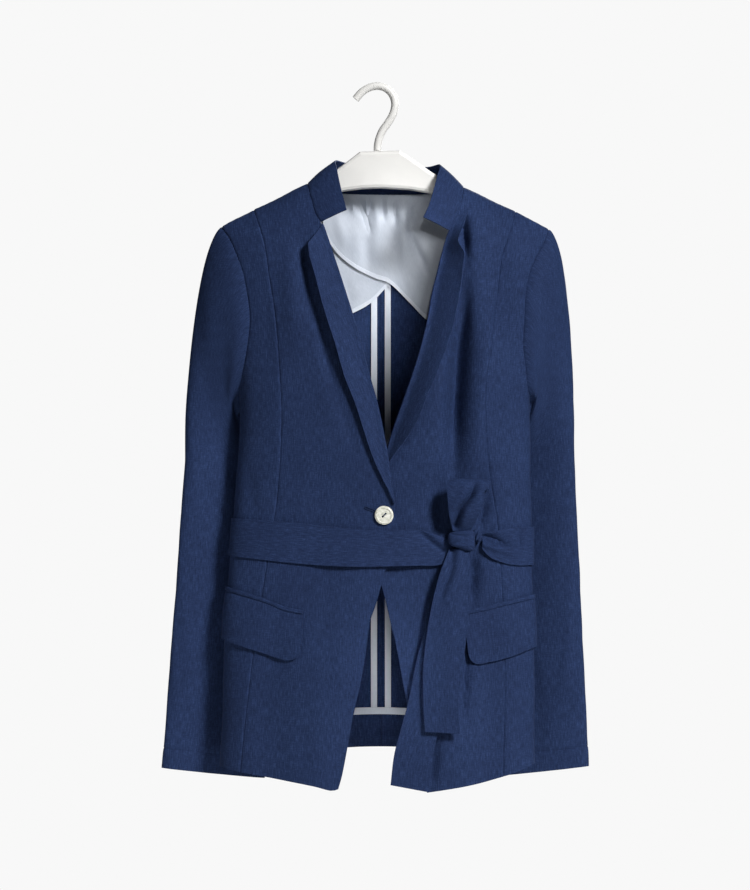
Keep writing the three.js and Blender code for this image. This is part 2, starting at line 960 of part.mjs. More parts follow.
// Inside the back: the half lining in two pieces, and the tapes
const onInside = wall / 2 + 1.5 * seamGap + tapeWall / 2;
const nextLayer = tapeWall + 1.8; // the lining hangs loosely
function inside(name, look, columns, rows, fromX, toX, low, high, lift) {
  return panel(name, look, columns, rows, {
    start: (z) => backAngle(fromX, z),
    end: (z) => backAngle(toX, z),
    low,
    high,
    lift,
    thickness: tapeWall,
  });
}

function liningTop(x) {
  const underShoulder = read(shoulder, x) - 9 - 8 * soft(Math.abs(x - 7), 95, 125);
  return Math.min(underShoulder, read(neckBack, THREE.MathUtils.clamp(x, -83.5, 98.5)) - 1.5);
}

// Each lining is sewn on along its top edge and hangs loose below it
function linings() {
  const edge = (rows) => (x) => read(rows, x);
  const hang = (layer) => (point) => {
    const drop = liningTop(point.x) - point.z;
    const sewn = 0.5 * seamGap + layer * (tapeWall + 2 * seamGap);
    return -onInside - mix(sewn, (layer + 1) * nextLayer, soft(drop, 0, 50));
  };
  return [
    inside('lining_upper', satin, 14, 9, 150, -66, edge(liningEdgeUpper), liningTop, hang(1)),
    inside('lining_lower', satin, 12, 9, 74, -138, edge(liningEdgeLower), liningTop, hang(0)),
  ];
}

const tapeWidth = 7;
const hemTapeRise = 38; // over the back hem
function tapes() {
  const hemTapeTop = hemTapeRise + tapeWidth + 1;
  const strip = (name, x) =>
    inside(
      name, tape, 1, 16, x + tapeWidth / 2, x - tapeWidth / 2,
      (across) => read(hemBack, across) + hemTapeTop + seamGap, () => -200, () => -onInside,
    );
  const hem = panel('hem_tape', tape, 26, 1, {
    start: () => sideSeam + 1,
    end: () => 359 - sideSeam,
    low: (x) => read(hemBack, x) + hemTapeRise,
    high: (x) => read(hemBack, x) + hemTapeTop,
    lift: () => -onInside - 1.5 * seamGap,
    thickness: tapeWall,
  });
  return [strip('seam_tape_left', backSeamX - 8.2), strip('seam_tape_right', backSeamX + 7.8), hem];
}

function button() {
  const rim = 0.6;
  const thick = 2.6;
  const face = new THREE.Shape().absarc(0, 0, buttonWidth / 2 - rim, 0, 2 * Math.PI);
  for (const x of [-2.1, 2.1]) face.holes.push(new THREE.Path().absarc(x, 0, 1.1, 0, 2 * Math.PI));
  const round = new THREE.ExtrudeGeometry(face, {
    depth: thick - 2 * rim,
    bevelThickness: rim,
    bevelSize: rim,
    bevelSegments: 1,
    curveSegments: 14,
  });
  const mesh = finish('button', shell, round);
  const place = { x: 5.75, z: -490 };
  const angle = angleAt(place.x, place.z);
  const out = outwards(angle, place.z);
  mesh.quaternion.setFromUnitVectors(new THREE.Vector3(0, 0, 1), out);
  mesh.position.copy(coat(angle, place.z)).addScaledVector(out, lap + wall / 2 + 2 * seamGap + rim);
  return mesh;
}

// The hanger: a flat body under the shoulders, and a hook of round bar
function hangerTopAt(x) {
  if (x > hangerTop[0][0] && x < hangerTop.at(-1)[0]) return read(hangerTop, x);
  const z = read(shoulder, x);
  const depth = Math.abs(coat(angleAt(x, z, true), z - shoulderRoll).y - sideY);
  const sag = (y) => (shoulderRoll / 2) * (y / depth) ** 2;
  const edge = hangerDepth / 2;
  const drop = Math.max(sag(edge - hangerEdge + 2), sag(edge + 2.5) - hangerEdge);
  const underCollar = 2.5 * (1 - soft(Math.abs(x - 7), 90, 120));
  const atTips = 1.2 * soft(Math.abs(x - 7), 105, 140);
  return z - wall / 2 - seamGap - drop - underCollar - atTips;
}

function hangerBody() {
  const ends = { left: -138, right: 150 };
  const outline = [];
  for (let x = ends.left; x < -70; x += 12) outline.push([x, hangerTopAt(x)]);
  outline.push(...hangerTop);
  for (let x = 88; x <= ends.right; x += 12) outline.push([x, hangerTopAt(x)]);
  outline.push([ends.right + 3, -160]);
  for (const [x, z] of [...hangerUnder].reverse()) {
    if (x > ends.left && x < ends.right) outline.push([x, z]);
  }
  outline.push([ends.left - 3, -153]);
  const shape = new THREE.Shape(outline.map(([x, z]) => new THREE.Vector2(x, z)));
  const body = new THREE.ExtrudeGeometry(shape, {
    depth: hangerDepth - 2 * hangerEdge,
    bevelThickness: hangerEdge,
    bevelSize: hangerEdge,
    bevelOffset: -hangerEdge,
    bevelSegments: 2,
    curveSegments: 1,
  });
  body.translate(0, 0, hangerEdge - hangerDepth / 2);
  body.rotateX(Math.PI / 2);
  body.translate(0, sideY, 0);
  return finish('hanger_body', whitePlastic, body);
}

function hangerHook() {
  const line = hookLine.map(([x, z]) => new THREE.Vector3(x, sideY, z));
  const section = new THREE.Shape().absarc(0, 0, hookRadius, 0, 2 * Math.PI);
  const hook = new THREE.ExtrudeGeometry(section, {
    steps: 28,
    curveSegments: 5,
    extrudePath: new THREE.CatmullRomCurve3(line),
  });
  return finish('hanger_hook', whitePlastic, hook);
}

const blazer = new THREE.Group();
blazer.add(frontLeft(), frontRight(), sideFrontLeft(), sideFrontRight(), backRight(), backLeft());
blazer.add(collar(), lapelLeft(), lapelRight(), ...sleeves());
blazer.add(...pocket('left', flapLeftRows, () => -91, (z) => angleAt(-88, z)));
blazer.add(...pocket('right', flapRightRows, (z) => angleAt(101, z), () => 91));
blazer.add(...belt(), ...knots(), ...tails(), bowLoop());
blazer.add(...linings(), ...tapes(), button(), hangerBody(), hangerHook());

export default blazer;
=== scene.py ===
# A woman's linen blazer with a tied waist belt on a white hanger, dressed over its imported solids.
# Tables are in millimetres: x to the viewer's right, z up from the top inside the hook.
import math
import random

import bmesh
import bpy
import numpy as np
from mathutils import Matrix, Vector


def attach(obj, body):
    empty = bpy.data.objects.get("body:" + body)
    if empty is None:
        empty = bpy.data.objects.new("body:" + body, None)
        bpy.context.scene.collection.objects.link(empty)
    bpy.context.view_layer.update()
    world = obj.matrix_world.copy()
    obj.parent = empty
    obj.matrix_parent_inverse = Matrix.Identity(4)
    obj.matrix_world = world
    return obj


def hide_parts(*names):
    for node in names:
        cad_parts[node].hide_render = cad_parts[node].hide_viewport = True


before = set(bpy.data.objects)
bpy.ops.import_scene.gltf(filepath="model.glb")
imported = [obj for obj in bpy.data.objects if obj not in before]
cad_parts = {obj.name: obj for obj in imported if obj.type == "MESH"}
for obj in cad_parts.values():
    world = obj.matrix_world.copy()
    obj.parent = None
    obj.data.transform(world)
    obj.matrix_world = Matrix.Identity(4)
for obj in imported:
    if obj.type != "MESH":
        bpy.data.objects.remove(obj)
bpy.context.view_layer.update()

mm = 0.001

coatSizes = {
    "wall": 1.6,
    "gap": 0.12,  # between neighbouring panels
    "sideY": -4,  # where front and back halves meet at the sides
    "frontBend": 2.4,  # roundness in plan, 2 is an ellipse
    "backBend": 1.8,
    "shoulderRoll": 58,
    "hemFrom": -750,
    "sideSeam": 97,  # degrees round from the front centre
    "backSeamX": 2.5,
    "underarm": -372,
    "middle": -400.0,  # height where the search for the end of an edge starts
    "waist": -450,  # height where the weave is unrolled
    "step": 3.6,  # cloth cells
}
grooveSizes = {
    "depth": 0.85, "halfWidth": 0.9, "welt": 0.12, "weltAt": 3.4, "weltWide": 1.6,
    "pucker": 0.2, "every": 9.5,  # small puckers, and the length of one
}

# Girth of the coat: height, left x, right x, depth of the front half, depth of the back half
girth = [
    (-820, -184, 180, 52, 48), (-779, -183, 179.5, 51, 48), (-703, -180, 178.5, 49, 46),
    (-634, -178, 178, 47, 44), (-588, -175.5, 177.5, 44, 42), (-549, -172, 175.5, 41, 40),
    (-490, -167, 175.5, 40, 39), (-450, -164, 174.5, 43, 41), (-404, -161, 174, 47, 44),
    (-358, -160, 173, 50, 47), (-300, -164, 178, 50, 48), (-250, -169.5, 183, 48, 46),
    (-200, -176, 191, 44, 42), (-163, -183, 198, 40, 37), (-100, -188, 203, 34, 32),
]
# The shoulder line: x, height
shoulder = [
    (-200, -168), (-183, -159.5), (-168, -151), (-145, -139.5), (-121, -128), (-101, -117.5),
    (-83, -108.7), (-30, -84), (40, -86), (98, -113.3), (116, -121.3), (139, -132.3), (162, -143.2),
    (185, -155.3), (195.5, -161), (212, -170),
]
# The largest folds: x and height of the upper end, x and height of the lower end, half width, rise
frontFolds = [
    (113, -135, 106, -310, 14, 4), (-106, -150, -92, -330, 16, 3), (58, -560, 92, -806, 26, 5),
    (124, -555, 130, -800, 20, -4), (-62, -560, -74, -806, 26, 4), (-116, -555, -128, -800, 18, -3.5),
]
backFolds = [
    (-72, -535, -98, -780, 28, 5), (64, -535, 84, -780, 28, 5), (0, -530, -4, -780, 20, -3),
    (-92, -180, -58, -440, 24, 3.5), (98, -180, 70, -440, 24, 3.5),
]
# Edges of the panels: height, x
princessLeft = [
    (-790, -159.5), (-732, -154), (-680, -148), (-620, -140), (-562, -131), (-500, -121), (-450, -115),
    (-392, -112), (-346, -112.5), (-300, -115.5), (-257, -119.5), (-220, -125.5), (-178, -132),
    (-139, -144),
]
princessRight = [
    (-790, 142.5), (-663, 144), (-588, 141.5), (-540, 139), (-496, 135.5), (-448, 127.5), (-392, 122),
    (-358, 121), (-329, 122.5), (-300, 127.5), (-268, 131), (-243, 135), (-214, 138), (-191, 141.5),
    (-168, 149.5), (-140, 157.5),
]
frontEdgeLeft = [
    (-804, -47), (-784, -41.5), (-722, -30), (-674, -19.5), (-646, -15), (-611, -10), (-592, -3.5),
    (-560, 5.5), (-525, 17), (-502, 20.7), (-480, 18.5), (-462, 13), (-425, 9), (-364, -3),
    (-330, -12.5), (-287, -24), (-240, -38), (-194, -53), (-156, -66), (-146, -72.3), (-130.5, -77),
    (-117, -80.5), (-108, -83),
]
frontEdgeRight = [
    (-807, 55), (-696, 30), (-663, 24), (-634, 18.5), (-611, 12.7), (-586, 7), (-549, -2), (-490, -7),
    (-460, -3), (-421, 9), (-387, 19.5), (-358, 30), (-312, 45.5), (-266, 57.5), (-239, 62), (-206, 70),
    (-178, 77), (-165, 81), (-149, 88.6), (-137, 93), (-122.5, 96.6), (-112, 98),
]
armholeFrontLeft = [
    (-372, -160.2), (-341, -158.7), (-309, -153), (-272, -148.4), (-249, -149.5), (-214, -156),
    (-193, -163), (-170, -173.5), (-160, -181),
]
armholeFrontRight = [
    (-372, 172.5), (-330, 169.5), (-295, 165.6), (-264, 167), (-237, 168), (-214, 172.5), (-195, 180.5),
    (-178, 190), (-161, 196),
]
armholeBackLeft = [
    (-372, -160.2), (-341, -156.5), (-309, -151), (-272, -149), (-240, -152), (-210, -158.5),
    (-185, -167), (-160, -181),
]
armholeBackRight = [
    (-372, 172.5), (-341, 168), (-309, 163.5), (-272, 163), (-240, 167), (-210, 173.5), (-185, 182.5),
    (-161, 196),
]
lapelEdgeLeft = [
    (-478, 18.8), (-426, -6), (-364, -26.5), (-332, -39), (-295, -49.5), (-256, -62), (-214, -73.5),
    (-189, -80), (-150, -80),
]
lapelEdgeRight = [
    (-478, -4.5), (-430, 12), (-404, 30), (-378, 45), (-352, 55), (-324, 66.5), (-295, 77), (-268, 85),
    (-235, 93.5), (-205, 98), (-192, 98.8), (-186, 94.5), (-178, 90.3), (-166, 94), (-156, 97.5),
    (-146, 100.5),
]
# Lower and upper edges: x, height
hemLeft = [
    (-190, -778), (-171, -782.5), (-148, -786.5), (-114, -792), (-74, -799), (-54, -804), (-46, -802),
]
hemRight = [
    (54, -806.5), (70, -804), (116, -796), (151, -787), (186, -774),
]
hemBack = [
    (-190, -780), (-120, -771), (-60, -765), (0, -762), (60, -765), (120, -770), (190, -777),
]
neckBack = [
    (-83.5, -109), (-60, -116), (-30, -119), (35, -119.5), (70, -118), (98.5, -113.5),
]
liningEdgeUpper = [
    (-72, -148), (-53, -181), (-31, -201), (-5, -214.5), (13, -221), (36, -243), (56, -263),
    (100, -290), (165, -306),
]
liningEdgeLower = [
    (-150, -300), (-90, -284), (-33, -256.5), (-9, -243), (13, -221), (45, -196), (78, -152),
]
# Top edge of the collar: place round the neck 0 to 3, x, y, height
collarTop = [
    (0, -37, -50, -141.5), (0.35, -41.5, -45, -125), (0.65, -45, -36, -110), (0.88, -48.5, -22, -92),
    (1, -50, -5, -82), (1.15, -38, 20, -82.5), (1.3, -20, 31, -84), (1.5, 8, 36, -86),
    (1.7, 38, 31, -87), (1.85, 58, 19, -87), (2, 70, -5, -87), (2.15, 67, -22, -100),
    (2.4, 62, -35, -119), (2.7, 57.5, -44, -134), (3, 50.5, -50, -150),
]
# Sleeves: height, outer x, outer y, inner x, inner y, half thickness, drop to the inner edge
sleeveLeftRows = [
    (-785, -251.5, 20, -134, 44, 11, 14), (-726, -246.5, 18, -129, 47, 12.5, 10),
    (-634, -239.5, 14, -121, 52, 14.5, 4), (-542, -232, 11, -113, 58, 16.5, 2),
    (-484, -228, 9, -108, 61, 18, 0), (-428, -223.5, 7, -103, 63, 19, 0),
]
sleeveRightRows = [
    (-783, 242.5, 20, 133, 44, 11, 14), (-726, 240.5, 18, 130, 47, 12.5, 10),
    (-634, 235.5, 15, 124, 53, 14.5, 4), (-542, 231, 13, 116, 60, 16.5, 2),
    (-484, 228, 12, 111, 63, 18, 0), (-428, 225.5, 10, 106, 66, 19, 0),
]
# Belt: x, lower edge, upper edge
beltFrontRows = [
    (-175, -537, -494), (-130, -542, -496.5), (-90, -546, -499.5), (-40, -549, -505), (5, -549, -508),
    (45, -548, -507), (64, -548, -512.5), (76, -544, -516.5), (84, -537, -518.5),
]
beltSideRows = [
    (117, -529, -512), (124, -537, -510), (135, -543, -508), (155, -548, -505), (182, -548, -504),
]
beltBackRows = [
    (-180, -537, -495), (-90, -541, -498), (0, -543, -500), (90, -545, -502), (182, -548, -505),
]
# Pocket flaps: x, lower edge, upper edge
flapLeftRows = [
    (-181, -632, -576), (-160, -639.5, -582), (-131, -648.5, -590.5), (-107, -655.5, -600),
    (-96, -654.5, -602.3), (-90, -648, -603.3), (-87, -632, -603.8),
]
flapRightRows = [
    (99, -634, -604.5), (101.5, -652, -604), (110, -660, -602), (124, -658.5, -599.2),
    (139, -655.5, -595.4), (156, -650.5, -591.5), (181, -640, -586.5),
]
# Tails of the bow: height, left x, right x, y
frontTailRows = [
    (-737, 52, 92, -67), (-703, 50, 90, -66.5), (-657, 50.5, 96, -65), (-602, 58, 102, -63),
    (-560, 68, 103, -60), (-528.8, 80, 104, -51.2),
]
secondTailRows = [
    (-801, 13, 56, -61.5), (-760, 18, 62, -61), (-703, 33, 74, -60.5), (-650, 44, 82, -58.5),
    (-600, 60, 94, -55.5), (-560, 74, 98, -52), (-529, 84, 102, -48.2),
]
# Loop of the bow: share of its length, height, left x, right x, y
loopRows = [
    (0, -508, 84, 104, -55), (0.2, -490, 80, 113, -64), (0.38, -462, 77.5, 124, -68),
    (0.47, -451, 79, 125, -65), (0.5, -449, 80, 125, -60), (0.53, -451, 80, 125, -55),
    (0.62, -464, 79, 124, -51), (0.8, -490, 81, 114, -49.5), (1, -507, 85, 105, -49),
]
# Hook: x, height
hookLine = [
    (-27, -10.5), (-19, -1.8), (-9.5, 3.3), (0, 4.4), (8, 1.8), (14, -3.5), (17.5, -10.5), (18.3, -19),
    (15.5, -29.3), (10, -38.5), (4, -47), (0.2, -56), (-1.5, -64), (-1.8, -70.3),
]

# Creases: x and height of one end, of the other end, half width, rise; under 0 is a trough
frontCreases = [
    (-104, -180, -97, -292, 9, 0.9), (-131, -225, -123, -335, 8, -0.8), (-147, -270, -149, -425, 9, 0.9),
    (-8, -478, -72, -438, 7, -0.7), (-12, -494, -92, -478, 6, 0.5), (-60, -300, -48, -410, 14, 0.7),
    (-150, -432, -141, -503, 6, -1.3), (-121, -446, -113, -503, 5, -1), (-86, -452, -93, -503, 7, 0.9),
    (-41, -458, -47, -504, 6, -0.8), (-66, -462, -70, -503, 5, -0.6),
    (97, -222, 84, -470, 12, -26), (128, -240, 110, -440, 7, 2.6), (125, -466, 114, -510, 4.5, -6),
    (108, -528, 106, -600, 8, -10), (62, -556, 40, -700, 8, -5), (72, -440, 66, -512, 9, -7),
    (-86, -172, -79, -266, 8, -6.5), (-77, -225, -48, -365, 7, -4.5), (-49, -350, -22, -430, 6, -2),
    (153, -165, 163, -285, 10, 1.7), (86, -290, 68, -440, 12, 1.3),
    (139, -200, 130, -305, 6, -0.9), (150, -425, 161, -500, 7, -1.1), (134, -418, 139, -497, 6, 0.9),
    (96, -136, 99.5, -204, 5, -11), (62, -430, 57, -503, 6, -0.9), (36, -452, 32, -503, 6, 0.6),
    (166, -300, 168, -430, 7, 0.9), (104, -604, 96, -738, 4, -5), (65, -742, 57, -810, 6, -4.5),
    (-150, -550, -159, -655, 8, -0.9), (-100, -550, -109, -668, 9, 0.8), (-60, -552, -67, -655, 8, -0.7),
    (-38, -590, -50, -772, 10, 0.9), (-120, -668, -126, -795, 9, 0.8), (-82, -700, -88, -803, 8, -0.7),
    (120, -552, 127, -604, 7, -0.9), (52, -560, 60, -700, 9, 0.8), (104, -610, 116, -800, 10, 0.9),
    (160, -655, 166, -785, 8, -0.9), (148, -552, 152, -598, 6, 0.7),
]
backCreases = [
    (-60, -190, -42, -372, 12, -1.5), (67, -182, 49, -345, 13, -1.3), (-112, -255, -101, -428, 10, 1.1),
    (114, -248, 104, -440, 10, 1.2), (-31, -415, -37, -501, 7, -1.1), (25, -404, 31, -503, 7, -1.1),
    (81, -436, 87, -503, 6, 1), (-90, -428, -93, -500, 7, 0.9), (-62, -440, -58, -500, 6, -0.8),
    (-41, -547, -52, -708, 10, 1.1), (31, -549, 39, -690, 9, -1), (111, -550, 119, -724, 10, 1.1),
    (-119, -546, -129, -735, 10, -1), (72, -548, 78, -640, 7, 0.8), (-64, -138, -8, -164, 8, -0.9),
    (74, -134, 20, -166, 8, -0.8), (0, -250, 6, -400, 16, 1), (-84, -640, -92, -768, 9, 0.9),
]
# On a sleeve: share of the way round and height of each end, half width, rise
sleeveCreases = [
    (0.30, -425, 0.54, -470, 9, -1.7), (0.24, -478, 0.5, -505, 8, -1.1), (0.12, -560, 0.27, -715, 12, 1.1),
    (0.62, -440, 0.82, -482, 10, -1.7), (0.70, -520, 0.86, -566, 9, -1.2), (0.36, -290, 0.38, -560, 14, 1.3),
    (0.1, -205, 0.2, -345, 13, 0.9), (0.44, -600, 0.4, -760, 10, -1), (0.75, -620, 0.7, -765, 12, 1.1),
    (0.92, -250, 0.86, -400, 12, -1), (0.28, -180, 0.34, -285, 8, -0.9), (0.5, -520, 0.42, -560, 8, -0.9),
]


def mix(a, b, t):
    return a + (b - a) * t


def soft(value, low, high):
    t = np.clip((np.asarray(value, float) - low) / (high - low), 0, 1)
    return t * t * (3 - 2 * t)


def gauss(value, halfWidth):
    return np.exp(-((value / halfWidth) ** 2))


# Smooth values between the rows of a table
def read(rows, key, column=1):
    table = np.asarray(rows, float)
    keys, values = table[:, 0], table[:, column]
    last = len(keys) - 1
    before, after = np.maximum(np.arange(last + 1) - 1, 0), np.minimum(np.arange(last + 1) + 1, last)
    slopes = (values[after] - values[before]) / (keys[after] - keys[before])
    key = np.asarray(key, float)
    i = np.clip(np.searchsorted(keys, key) - 1, 0, last - 1)
    span = keys[i + 1] - keys[i]
    t = np.clip((key - keys[i]) / span, 0, 1)
    u = 1 - t
    value = values[i] * u * u * (1 + 2 * t) + values[i + 1] * t * t * (3 - 2 * t)
    return value + slopes[i] * span * t * u * u - slopes[i + 1] * span * t * t * u


# The largest folds fade in from the top, and out again unless they run to the hem
def foldRise(folds, x, z):
    rise = np.zeros(np.broadcast(x, z).shape)
    for highX, high, lowX, low, wide, tall in folds:
        runsOut = low < coatSizes["hemFrom"]
        share = (high - z) / (high - low)
        inside = (share > 0) & ((share < 1) | runsOut)
        away = (x - mix(highX, lowX, share)) / wide
        ends = soft(share, 0, 0.45) * (1 if runsOut else 1 - soft(share, 0.6, 1))
        rise = rise + np.where(inside, tall * np.exp(-away * away) * ends, 0)
    return rise


# Soft troughs and ridges that fade at both ends
def creaseRise(creases, x, z, across=1):
    rise = np.zeros(np.broadcast(x, z).shape)
    for fromX, fromZ, toX, toZ, wide, tall in creases:
        runX, runZ = (toX - fromX) * across, toZ - fromZ
        long = runX * runX + runZ * runZ
        share = ((x - fromX) * across * runX + (z - fromZ) * runZ) / long
        away = ((x - fromX) * across * runZ - (z - fromZ) * runX) / math.sqrt(long) / wide
        fade = soft(share, -0.12, 0.4) * (1 - soft(share, 0.55, 1.12))
        rise = rise + tall * np.exp(-away * away) * fade
    return rise


# Faint unevenness of cloth that has been worn and pressed, in waves that run more up than across
unevenSizes = {"waves": 7, "lengths": (26, 95), "heights": (0.06, 0.17), "upShare": 0.6}
fullTurn = 6.28


def unevenness(x, z, seed):
    draw = random.Random(seed)
    rise = 0
    for k in range(unevenSizes["waves"]):
        turn, wave = draw.uniform(0, math.pi), draw.uniform(*unevenSizes["lengths"])
        phase, tall = draw.uniform(0, fullTurn), draw.uniform(*unevenSizes["heights"])
        way = x * math.cos(turn) + z * unevenSizes["upShare"] * math.sin(turn)
        rise = rise + tall * np.sin(way * fullTurn / wave + phase)
    return rise


# How far the coat has come out from its shoulder line, 0 to 1
def rollOver(x, z):
    drop = np.clip((read(shoulder, x) - z) / coatSizes["shoulderRoll"], 0, 1)
    return np.sqrt(1 - (1 - drop) ** 2)


# Whether an angle is on the front half, that half's roundness, and how deep the coat is there
def halfOf(angle, z):
    onFront = np.abs(angle) <= 90
    power = np.where(onFront, 2 / coatSizes["frontBend"], 2 / coatSizes["backBend"])
    depth = np.where(onFront, read(girth, z, 3), read(girth, z, 4))
    return onFront, power, depth * np.abs(np.cos(np.radians(angle))) ** power


# A point of the coat: 0 degrees is the front, 90 the right side, 180 the back
def coat(angle, z):
    angle, z = np.broadcast_arrays(np.asarray(angle, float), np.asarray(z, float))
    left, right = read(girth, z, 1), read(girth, z, 2)
    onFront, power, depth = halfOf(angle, z)
    across = np.sin(np.radians(angle))
    x = (left + right) / 2 + (right - left) / 2 * np.sign(across) * np.abs(across) ** power
    out = depth * rollOver(x, z) + np.where(onFront, foldRise(frontFolds, x, z), foldRise(backFolds, x, z))
    return np.stack([x, coatSizes["sideY"] + np.where(onFront, -out, out), z], axis=-1)


def angleAt(x, z, onBack=False):
    left, right = read(girth, z, 1), read(girth, z, 2)
    across = np.clip((2 * np.asarray(x, float) - left - right) / (right - left), -0.9999, 0.9999)
    bend = coatSizes["backBend"] if onBack else coatSizes["frontBend"]
    angle = np.degrees(np.arcsin(np.abs(across) ** (bend / 2)))
    return np.sign(across) * (180 - angle if onBack else angle)


def backAngle(x, z):
    angle = angleAt(x, z, True)
    return np.where(angle < 0, angle + 360, angle)


# How the coat's surface runs on for each degree, along its shoulder line where that slopes
def wayRound(angle, z):
    step = 0.05
    x = coat(angle, z)[..., 0]
    slope = read(shoulder, x + 0.5) - read(shoulder, x - 0.5)
    near = z + slope * (coat(angle - step, z)[..., 0] - x)
    far = z + slope * (coat(angle + step, z)[..., 0] - x)
    return (coat(angle + step, far) - coat(angle - step, near)) / (2 * step)


def unit(vectors):
    return vectors / np.maximum(np.linalg.norm(vectors, axis=-1, keepdims=True), 1e-9)


def outwards(angle, z):
    return unit(np.cross(wayRound(angle, z), coat(angle, z) - coat(angle, z - 0.02)))


def along(angle, z, distance):
    return angle + distance / np.linalg.norm(wayRound(angle, z), axis=-1)


# Shares across a piece, closer together beside its seams
def shares(length, step, fine=(0.5, 1.1, 1.9, 3.1), low=True, high=True):
    inner = np.linspace(0, 1, max(2, round(length / step)) + 1)
    near = np.array(fine) / length
    keep = (inner > (near[-1] * 1.3 if low else -1)) & (inner < (1 - near[-1] * 1.3 if high else 2))
    parts = [[0], near if low else [], inner[keep], 1 - near if high else [], [1]]
    return np.unique(np.round(np.concatenate(parts), 6))


def arcs(points, axis):
    steps = np.linalg.norm(np.diff(points, axis=axis), axis=-1)
    zero = np.zeros_like(np.take(steps, [0], axis=axis))
    return np.concatenate([zero, np.cumsum(steps, axis=axis)], axis=axis)


def cellArea(points):
    a, b = points[1:, 1:] - points[:-1, :-1], points[1:, :-1] - points[:-1, 1:]
    return float(np.linalg.norm(np.cross(a, b), axis=-1).sum() / 2)


def normalsOf(points):
    return unit(np.cross(np.gradient(points, axis=1), np.gradient(points, axis=0)))


clothSizes = {"bevel": 0.25, "bevelShare": 0.25, "bevelAngle": 50, "leastFlat": 0.0101}
# Pieces whose solid has another name, and those that only the scene has
otherNodes = {
    "standCollar": "collar",
    "liningBindingUpper": "",
    "liningBindingLower": "",
    "buttonThread": "",
    "buttonhole": "",
}


def addObject(name, data):
    added = bpy.data.objects.new(name, data)
    bpy.context.collection.objects.link(added)
    return added


def settle(piece, name):
    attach(piece, "root")
    ownNode = "".join("_" + letter.lower() if letter.isupper() else letter for letter in name)
    node = otherNodes.get(name, ownNode)
    if node:
        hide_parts(node)


# Grid of cloth from points in millimetres, its weave laid by grain = (across, up) in millimetres
def cloth(name, points, look, grain=None, thick=coatSizes["wall"], closed=False):
    rows, columns = points.shape[0] - 1, points.shape[1] - 1
    bm = bmesh.new()
    bmesh.ops.create_grid(bm, x_segments=columns, y_segments=rows, size=1)
    bm.verts.ensure_lookup_table()
    spots = [(round((v.co.y + 1) / 2 * rows), round((v.co.x + 1) / 2 * columns)) for v in bm.verts]
    for vert, (j, i) in zip(bm.verts, spots):
        vert.co = points[j, i] * mm
    around, upwards = arcs(points, 1), arcs(points, 0)
    grain = grain or (around, upwards)
    weave = bm.loops.layers.uv.new("weave")
    for face in bm.faces:
        face.smooth = True
        for loop in face.loops:
            j, i = spots[loop.vert.index]
            loop[weave].uv = (grain[0][j, i] * mm, grain[1][j, i] * mm)
    if closed:
        bmesh.ops.remove_doubles(bm, verts=bm.verts, dist=1e-5)
    mesh = bpy.data.meshes.new(name)
    bm.to_mesh(mesh)
    bm.free()
    piece = addObject(name, mesh)
    mesh.materials.append(look)
    settle(piece, name)
    if closed:
        return
    wall = piece.modifiers.new("wall", "SOLIDIFY")
    wall.thickness = thick * mm
    wall.offset = 0
    edge = piece.modifiers.new("edge", "BEVEL")
    edge.width = min(clothSizes["bevel"], thick * clothSizes["bevelShare"]) * mm
    edge.segments = 2
    edge.limit_method = "ANGLE"
    edge.angle_limit = math.radians(clothSizes["bevelAngle"])
    edge.harden_normals = True
    # The sheet's width, length and area, strips under 10 mm counted at the least size, are worked out here
    # but not used further
    width = max(float(around[:, -1].max()) * mm, clothSizes["leastFlat"])
    length = max(float(upwards[-1].max()) * mm, clothSizes["leastFlat"])
    area = min(cellArea(points) * mm * mm, width * length)


# The height where an upright edge, an angle over height, meets a low or high one, a height over x
def meet(side, edge, rounds=12):
    z = coatSizes["middle"]
    for _ in range(rounds + 1):
        angle = side(z)
        z = edge(coat(angle, z)[..., 0], angle)
    return z


# A panel of the coat between two upright edges and a low and a high one, about so wide and high
def panel(start, end, low, high, width, height, step=coatSizes["step"]):
    s, t = shares(width, step)[None, :], shares(height, step, low=False)[:, None]
    startLow, startHigh = meet(start, low), meet(start, high)
    endLow, endHigh = meet(end, low), meet(end, high)
    angle = mix(start(mix(startLow, startHigh, t)), end(mix(endLow, endHigh, t)), s)
    lowAngle, highAngle = mix(start(startLow), end(endLow), s), mix(start(startHigh), end(endHigh), s)
    z = mix(meet(lambda z: lowAngle, low, 6), meet(lambda z: highAngle, high, 6), t)
    base, out = coat(angle, z), outwards(angle, z)
    s, t = np.broadcast_arrays(s, t)
    return {"base": base, "out": out, "angle": angle, "s": s, "t": t, "x": base[..., 0], "z": z}


# The cloth turns in at a seam, with a low welt beside it and faint puckers along it
def seamGroove(distance, alongSeam, phase=0.0):
    g = grooveSizes
    inTurn = -g["depth"] * gauss(distance, g["halfWidth"])
    welt = g["welt"] * gauss(distance - g["weltAt"], g["weltWide"])
    wave = np.sin(alongSeam * fullTurn / g["every"] + phase + 1.3 * np.sin(alongSeam / 23))
    pucker = g["pucker"] * wave * np.exp(-distance / 4) * (1 - np.exp(-distance))
    return inTurn + welt + pucker


def raised(place, rise):
    return place["base"] + place["out"] * rise[..., None]


# Distance from the upper or lower edge of a panel
def fromEdge(place, fromHigh=True):
    height = arcs(place["base"], 0)
    return height[-1:] - height if fromHigh else height


# Upright edges
def edgeAngle(rows, shift=0.0):
    return lambda z: along(angleAt(read(rows, z), z), z, shift)


def atAngle(angle, shift=0.0):
    return lambda z: along(angle + 0 * z, z, shift)


def uprightAt(x):
    return lambda z: angleAt(x + 0 * z, z)


def sideEdge(armhole, side, onBack):
    shift = side * coatSizes["gap"] * (1 if onBack else -1) / 2
    under = coatSizes["underarm"]

    def angleOver(z):
        straight = along(side * coatSizes["sideSeam"], z, shift)
        onArmhole = angleAt(read(armhole, z), z, onBack)
        return np.where(z <= under, straight, mix(straight, onArmhole, soft(z, under, under + 30)))

    return angleOver


